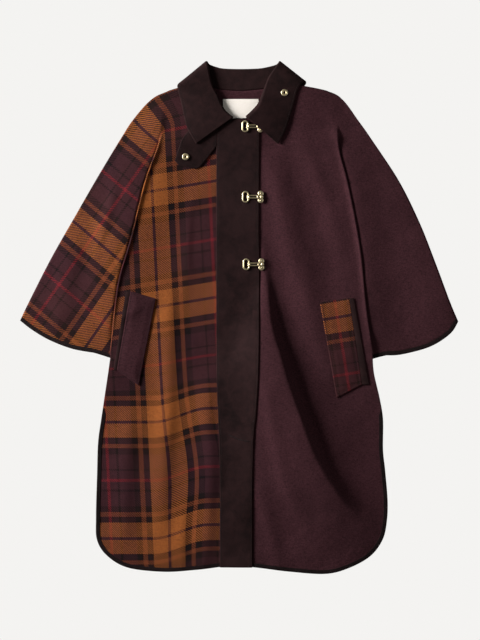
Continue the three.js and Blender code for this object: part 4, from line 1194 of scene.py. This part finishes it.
def pockets():
    seams = []
    for name, shape in WELTS.items():
        material, slot, lean, place = WELT_CLOTHS[name]
        a, b, c, d = shape["corners"]
        across, down = edge_shares(WELT_WIDTH, 20), edge_shares(WELT_LENGTH, 60)
        xy = four_sided(a, b, c, d, across, down)
        distance = np.minimum(from_edge(across, WELT_WIDTH)[None], from_edge(down, WELT_LENGTH)[:, None])
        puffed = WELT_PUFF * smooth(distance, 3, 14)
        mid = flat_mid(CORD)
        points = laid_on(mid, xy, stitched_relief(distance) + puffed)
        lean = math.radians(lean)
        turned = np.array([[math.cos(lean), math.sin(lean)], [-math.sin(lean), math.cos(lean)]])
        grain = (xy - np.mean((a, b, c, d), axis=0)) @ turned.T + place
        piece = Cloth().add(points, grain).made("pocket_welt_" + name + "_cloth", CORD, material, slot)
        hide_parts("pocket_welt_" + name)
        rim = np.concatenate([xy[4, 4:-4], xy[5:-4, -5], xy[-5, 4:-4][::-1], xy[5:-4, 4][::-1]])
        seams.append(laid_on(mid, rim, CORD / 2 - SUNK))

        # the dark strip in the pocket's opening
        near, far = shape["opening"]
        side = math.copysign(0.3, near)
        corners = [(a[0] + side, a[1]), (a[0] + near, a[1]), (d[0] + far, d[1]), (d[0] + side, d[1])]
        xy = four_sided(*corners, shares(10), shares(90))
        rolled = FACING_ROLL * np.sin(shares(10) * math.pi)[None]
        cloth = Cloth().add(laid_on(flat_mid(FACING), xy, rolled), flip=name == "right")
        piece = cloth.made("pocket_facing_" + name + "_cloth", FACING, CORD_DARK, "corduroy")
        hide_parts("pocket_facing_" + name)
    stitches("pocket_stitching", seams, DARK_THREAD, radius=0.28)


LABEL_OVER = 0.75  # how far the label stands off the back
LABEL_STITCH = 2.2


def label():
    (x0, x1), (y0, y1), thickness = LABEL["x"], LABEL["y"], LABEL["thickness"]
    across, down = edge_shares(x1 - x0, 26), edge_shares(y1 - y0, 12)
    xy = four_sided((x0, y1), (x1, y1), (x1, y0), (x0, y0), across, down)

    def mid(x, y):
        wave = 0.21 * np.sin((x + 8) / 13) + 0.15 * np.sin((y - 400) / 8)
        return back_mid(x, y) + WOOL / 2 + thickness / 2 + LABEL_OVER + wave

    piece = Cloth().add(laid_on(mid, xy)).made("label_cloth", thickness, LABEL_CLOTH, "label_cloth")
    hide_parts("label")
    ends = (x0 + LABEL_STITCH, x1 - LABEL_STITCH)
    lines = [laid_on(mid, polyline([(x, y1 - 2), (x, y0 + 2)])(shares(39)), thickness / 2) for x in ends]
    stitches("label_stitching", lines, PALE_THREAD, length=1.8, gap=0.7, radius=0.2)


# Collar


def collar_stations(share):
    table = np.array(COLLAR, float)
    at = share * (len(table) - 1)
    start = np.minimum(at.astype(int), len(table) - 2)
    t = (at - start)[:, None]
    return rounded_step(*(table[np.clip(start + by, 0, len(table) - 1)] for by in (-1, 0, 1, 2)), t)


SETTLED = 0.3  # share of the fall over which it comes down from the roll's level to the cloth's
COLLAR_BOW = 0.8
END_REACH = 1000  # mm to one whole share of the collar, near its ends


def collar():
    ends = np.array([0, 0.0012, 0.0024, 0.0036, 0.0048, 0.006, 0.0078, 0.01])
    around = np.concatenate([ends, np.linspace(0.01, 0.99, 230)[1:-1], 1 - ends[::-1]])
    front, sx, sy, rx, ry, ox, oy, lift_roll, lift_outer, out = collar_stations(around).T
    seam, roll, outer = (np.stack(pair, axis=-1) for pair in ((sx, sy), (rx, ry), (ox, oy)))
    outward = roll - (seam + outer) / 2
    outward /= np.linalg.norm(outward, axis=1, keepdims=True)
    radius = np.hypot(lift_roll, out) / 2
    turned = roll - outward * radius[:, None]
    ahead = turned - seam
    seam = seam + ahead / np.linalg.norm(ahead, axis=1, keepdims=True) * SEAM_GAP

    def level(xy):
        x, y = xy[..., 0], xy[..., 1]
        share = front.reshape((-1,) + (1,) * (x.ndim - 1))
        return share * front_mid(x, y) + (1 - share) * back_mid(x, y)

    def moved(xy, by):
        return xy + np.stack([by, np.zeros(by.shape)], axis=-1)

    stand = shares(14)[:-1][None, :, None]
    stand_xy = seam[:, None] * (1 - stand) + turned[:, None] * stand
    roll_level = level(turned)[:, None]
    angle = shares(16)[None] * math.pi
    over = (1 - np.cos(angle)) / 2
    roll_xy = moved(turned[:, None] + outward[:, None] * (radius[:, None] * np.sin(angle))[..., None],
                    out[:, None] * over)
    roll_heights = roll_level + lift_roll[:, None] * over
    fall = np.concatenate([np.linspace(0, 0.9, 30)[1:], 0.9 + 0.1 * shares(11)[1:]])[None]
    fall_xy = moved(turned[:, None] * (1 - fall[..., None]) + outer[:, None] * fall[..., None],
                    out[:, None] * (1 - fall))
    own = level(fall_xy)
    own = np.where(fall < SETTLED, roll_level + (own - roll_level) * (fall / SETTLED), own)
    length = np.linalg.norm(outer - turned, axis=1)[:, None]
    distance = (1 - fall) * length
    end_run = np.minimum(around, 1 - around)[:, None] * END_REACH * fall
    relief = stitched_relief(np.minimum(distance, end_run + 0.01), depth=0.16, at=COLLAR_STITCH)
    bowed = COLLAR_BOW * np.sin(fall * math.pi)
    lifted = lift_roll[:, None] + (lift_outer - lift_roll)[:, None] * fall
    fall_heights = own + lifted + (relief + bowed) * front[:, None]
    rows = np.concatenate([with_heights(stand_xy, level(stand_xy)), with_heights(roll_xy, roll_heights),
                           with_heights(fall_xy, fall_heights)], axis=1)
    run_around = np.concatenate([[0], np.cumsum(np.linalg.norm(np.diff(roll, axis=0), axis=1))])
    steps_down = np.linalg.norm(np.diff(rows, axis=1), axis=2)
    run_down = np.concatenate([np.zeros((len(around), 1)), np.cumsum(steps_down, axis=1)], axis=1)
    grain = np.stack([np.broadcast_to(run_around[:, None], run_down.shape), run_down], axis=-1)
    cloth = Cloth().add(rows, grain, flip=True)
    piece = cloth.hole(EYELETS["collar"], EYELET_HOLE).made("collar_cloth", CORD, CORD_DARK, "corduroy")
    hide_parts("collar")
    edge = int(np.argmin(np.abs(distance[0] - COLLAR_STITCH))) + stand.shape[1] + angle.shape[1]
    lines = [rows[3:-3, edge] + (0, 0, CORD / 2 - SUNK_COLLAR)]
    stitches("collar_stitching", lines, DARK_THREAD)


# Fastenings


def swept(points, faces, path, across, up, closed=False):
    """Adds a rod with an oval section along a path."""
    path = np.asarray(path, float)
    sides, first = 12, len(points)
    ahead = np.gradient(path, axis=0)
    if closed:
        ahead = np.roll(path, -1, axis=0) - np.roll(path, 1, axis=0)
    ahead /= np.linalg.norm(ahead, axis=1, keepdims=True)
    helper = np.where(np.abs(ahead[:, 2:]) > 0.95, (0, 1, 0), (0, 0, 1))
    aside = np.cross(ahead, helper)
    aside /= np.linalg.norm(aside, axis=1, keepdims=True)
    above = np.cross(aside, ahead)
    for centre, s, u in zip(path, aside, above):
        for k in range(sides):
            turn = 2 * math.pi * k / sides
            points.append(centre + s * across * math.cos(turn) + u * up * math.sin(turn))
    count = len(path)
    for i in range(count if closed else count - 1):
        a, b = first + i * sides, first + (i + 1) % count * sides
        for k in range(sides):
            faces.append([a + (k + 1) % sides, a + k, b + k, b + (k + 1) % sides])
    if not closed:
        faces.append([first + k for k in range(sides)])
        faces.append([first + (count - 1) * sides + k for k in reversed(range(sides))])


def turned_profile(points, faces, profile, centre, segments=36, stretch=(1, 1)):
    """Adds a shape turned round an upright axis, from a profile of radii and heights."""
    first = len(points)
    x, y, z = centre
    for radius, height in profile:
        for k in range(segments):
            turn = 2 * math.pi * k / segments
            points.append(np.array([x + radius * stretch[0] * math.cos(turn),
                                    y + radius * stretch[1] * math.sin(turn), z + height]))
    for i in range(len(profile) - 1):
        a, b = first + i * segments, first + (i + 1) * segments
        for k in range(segments):
            faces.append([a + k, a + (k + 1) % segments, b + (k + 1) % segments, b + k])


def dome_profile(radius, height, foot):
    arc = [(radius * math.cos(t), height * math.sin(t)) for t in np.linspace(0, math.pi / 2 - 0.03, 9)]
    return [(radius, -foot)] + arc + [(0.001, height)]


# Clasps, in mm. What stands across the hook is placed to the right of the ring's middle.
METAL_OVER = 0.3  # gap between the metal and the cloth under it
RING_LENGTH, RING_WIDTH, RING_WIRE, RING_HEIGHT = 23.0, 13.4, 3.0, 2.2
HOOK_APART = 2.35  # half the distance between the hook's two wires
HOOK_WIRE = (1.2, 0.85)
HOOK_HEIGHT = 3.55
PLATE_PLACE, HEAD_PLACE, CROSSBAR_PLACE = 29.5, 31.5, 23.5
# the outlines of the plate's two lobes and its waist, as radii and heights
LOBE = [(0.02, 0.3), (4.6, 0.3), (5.3, 0.65), (5.6, 1.2), (5.5, 1.9), (4.9, 2.4), (3.7, 2.6), (0.02, 2.65)]
WAIST = [(0.02, 0.3), (3.9, 0.3), (4.2, 0.8), (4.1, 1.8), (3.4, 2.3), (0.02, 2.4)]


def clasp_ring(i, centre, top):
    half, radius = (RING_LENGTH - RING_WIDTH) / 2, (RING_WIDTH - RING_WIRE) / 2
    turns = np.linspace(0, math.pi, 17)
    ends = [(radius * np.cos(turns), half + radius * np.sin(turns)),
            (-radius * np.cos(turns), -half - radius * np.sin(turns))]
    xy = np.concatenate([np.stack(end, axis=-1) for end in ends]) + centre
    points, faces = [], []
    path = with_heights(xy, np.full(len(xy), top + METAL_OVER + RING_HEIGHT / 2))
    swept(points, faces, path, RING_WIRE / 2, RING_HEIGHT / 2, closed=True)
    piece = made_mesh(f"clasp_ring_{i}_metal", points, faces, BRASS)
    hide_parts(f"clasp_ring_{i}")


def clasp_hook(i, centre, top):
    points, faces = [], []
    cx, cy = centre
    ring_side = cx + RING_WIDTH / 2 - RING_WIRE
    bar_height = top + HOOK_HEIGHT

    # two wires that reach down inside the ring, over it and back to the plate
    for side in (-1, 1):
        y = cy + side * HOOK_APART
        bend = [(ring_side - 0.2, y, top + 0.9), (ring_side - 0.5, y, top + 2.0),
                (ring_side + 0.1, y, bar_height), (ring_side + 1.6, y, bar_height + 0.25),
                (cx + 14, y, bar_height), (cx + 22, y, bar_height - 0.2), (cx + 27, y, top + 2.2)]
        steps = np.linspace(0, 1, 40) * (len(bend) - 1)
        path = np.stack([np.interp(steps, range(len(bend)), axis) for axis in zip(*bend)], axis=-1)
        path[1:-1] = (path[:-2] + path[1:-1] * 2 + path[2:]) / 4
        swept(points, faces, path, *HOOK_WIRE)

    # the bars across them: at the tip, beside the ring and before the plate
    for x, height, size in ((ring_side - 0.2, top + 0.95, 0.6), (ring_side + 2.9, bar_height + 0.1, 0.9),
                            (cx + CROSSBAR_PLACE, top + 3.0, 1.2)):
        path = np.stack([np.full(9, x), cy + np.linspace(-3.4, 3.4, 9), np.full(9, height)], axis=-1)
        swept(points, faces, path, size, size * 0.8)

    # the plate with its rivets, and the post that stands on the cloth under its head
    plate, head = cx + PLATE_PLACE, cx + HEAD_PLACE
    for side in (-1, 1):
        turned_profile(points, faces, LOBE, (plate, cy + side * 6.4, top))
        turned_profile(points, faces, dome_profile(1.5, 0.8, 0.3), (plate, cy + side * 7.2, top + 2.6), 20)
    turned_profile(points, faces, WAIST, (plate, cy, top), stretch=(1, 1.7))
    turned_profile(points, faces, dome_profile(3.4, 2.0, 1.4), (head, cy, top + 2.2))
    foot = float(front_top(head, cy)) + METAL_OVER
    turned_profile(points, faces, [(2.0, foot - top), (2.0, 1.0)], (head, cy, top), 16)
    piece = made_mesh(f"clasp_hook_{i}_metal", points, faces, BRASS)
    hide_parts(f"clasp_hook_{i}")


def clasps():
    """Each clasp stands on the highest cloth under it."""
    for i, (x, y) in enumerate(CLASPS, 1):
        probes = np.array([(x - 5, y - 11), (x, y + 11), (x + 6, y + 8), (x + 22, y - 11), (x + 22, y)])
        top = float((placket_mid(probes[:, 0], probes[:, 1]) + CORD / 2).max())
        clasp_ring(i, (x, y), top)
        clasp_hook(i, (x, y), top)


EYELET = [(2.15, -2.2), (3.1, -2.2), (3.1, 0.3), (6.3, 0.3), (6.75, 0.55), (6.7, 1.0), (6.1, 1.4),
          (5.0, 1.65), (3.9, 1.62), (2.9, 1.3), (2.3, 0.7), (2.15, 0.0), (2.15, -2.2)]
EYELET_HEIGHT = 1.6  # of the solid's flange over the cloth


def eyelets():
    for name, (x, y) in EYELETS.items():
        _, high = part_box("eyelet_" + name)
        points, faces = [], []
        turned_profile(points, faces, EYELET, (x, y, high.z / MM - EYELET_HEIGHT), 48)
        piece = made_mesh(f"eyelet_{name}_metal", points, faces, BRASS)
        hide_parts("eyelet_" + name)


# The picture's camera, light and floor, in metres

FLOOR_HALF, FLOOR_DROP = 4, 0.0004
PICTURE_HEIGHT, PIXEL_MM = 640, 1.95
CLOTH_LEVEL = 0.006  # the level at which the picture's scale holds
LAMPS = [("key", (-2.6, 0.9, 0.98), 0.9, 238), ("side", (0.95, 0.25, 0.8), 0.5, 2.4)]


def studio_floor():
    floor = bpy.data.meshes.new("studio_floor")
    around = ((-1, -1), (1, -1), (1, 1), (-1, 1))
    corners = [(x * FLOOR_HALF, y * FLOOR_HALF, -FLOOR_DROP) for x, y in around]
    floor.from_pydata(corners, [], [(0, 1, 2, 3)])
    paper = bpy.data.materials.new("Pale paper floor")
    paper.use_nodes = True
    inputs = paper.node_tree.nodes["Principled BSDF"].inputs
    inputs["Base Color"].default_value = (0, 0, 0, 1)
    inputs["Specular IOR Level"].default_value = 0.0
    inputs["Emission Color"].default_value = linear(244, 243, 241)
    inputs["Emission Strength"].default_value = 1.0
    floor.materials.append(paper)
    piece = bpy.data.objects.new("studio_floor", floor)
    bpy.context.scene.collection.objects.link(piece)


def studio():
    scene = bpy.context.scene
    world = bpy.data.worlds.new("Soft studio")
    world.use_nodes = True
    sky = world.node_tree.nodes["Background"].inputs
    sky["Color"].default_value = (1.0, 0.995, 0.985, 1)
    sky["Strength"].default_value = 0.055
    scene.world = world
    for name, place, size, power in LAMPS:
        light = bpy.data.lights.new(name + "_light", "AREA")
        light.size, light.energy = size, power
        lamp = bpy.data.objects.new(name + "_light", light)
        lamp.location = place
        lamp.rotation_euler = (-Vector(place)).to_track_quat("-Z", "Y").to_euler()
        scene.collection.objects.link(lamp)

    camera = bpy.data.cameras.new("overhead_camera")
    camera.lens, camera.sensor_width, camera.sensor_fit = 85, 36, "AUTO"
    distance = PICTURE_HEIGHT * PIXEL_MM * MM * camera.lens / camera.sensor_width
    eye = bpy.data.objects.new("overhead_camera", camera)
    eye.location = ((TO_FRAME[0] + VIEW_MIDDLE[0]) * MM, (TO_FRAME[1] + VIEW_MIDDLE[1]) * MM,
                    distance + CLOTH_LEVEL)
    scene.collection.objects.link(eye)
    scene.camera = eye
    scene.view_settings.view_transform = "Standard"


studio_floor()
studio()
pieces = [
    (back_panel(), "back_panel", (0.854, 0.95), 0.55),
    (front_panel("right", PLAID, "plaid_wool"), "front_right", (0.47, 0.95), 0.29),
    (front_panel("left", PLAIN, "plain_wool"), "front_left", (0.47, 0.95), 0.29),
]
for panel, node, flat, area in pieces:
    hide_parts(node)
bindings()
placket()
throat_tab()
pockets()
label()
collar()
clasps()
eyelets()
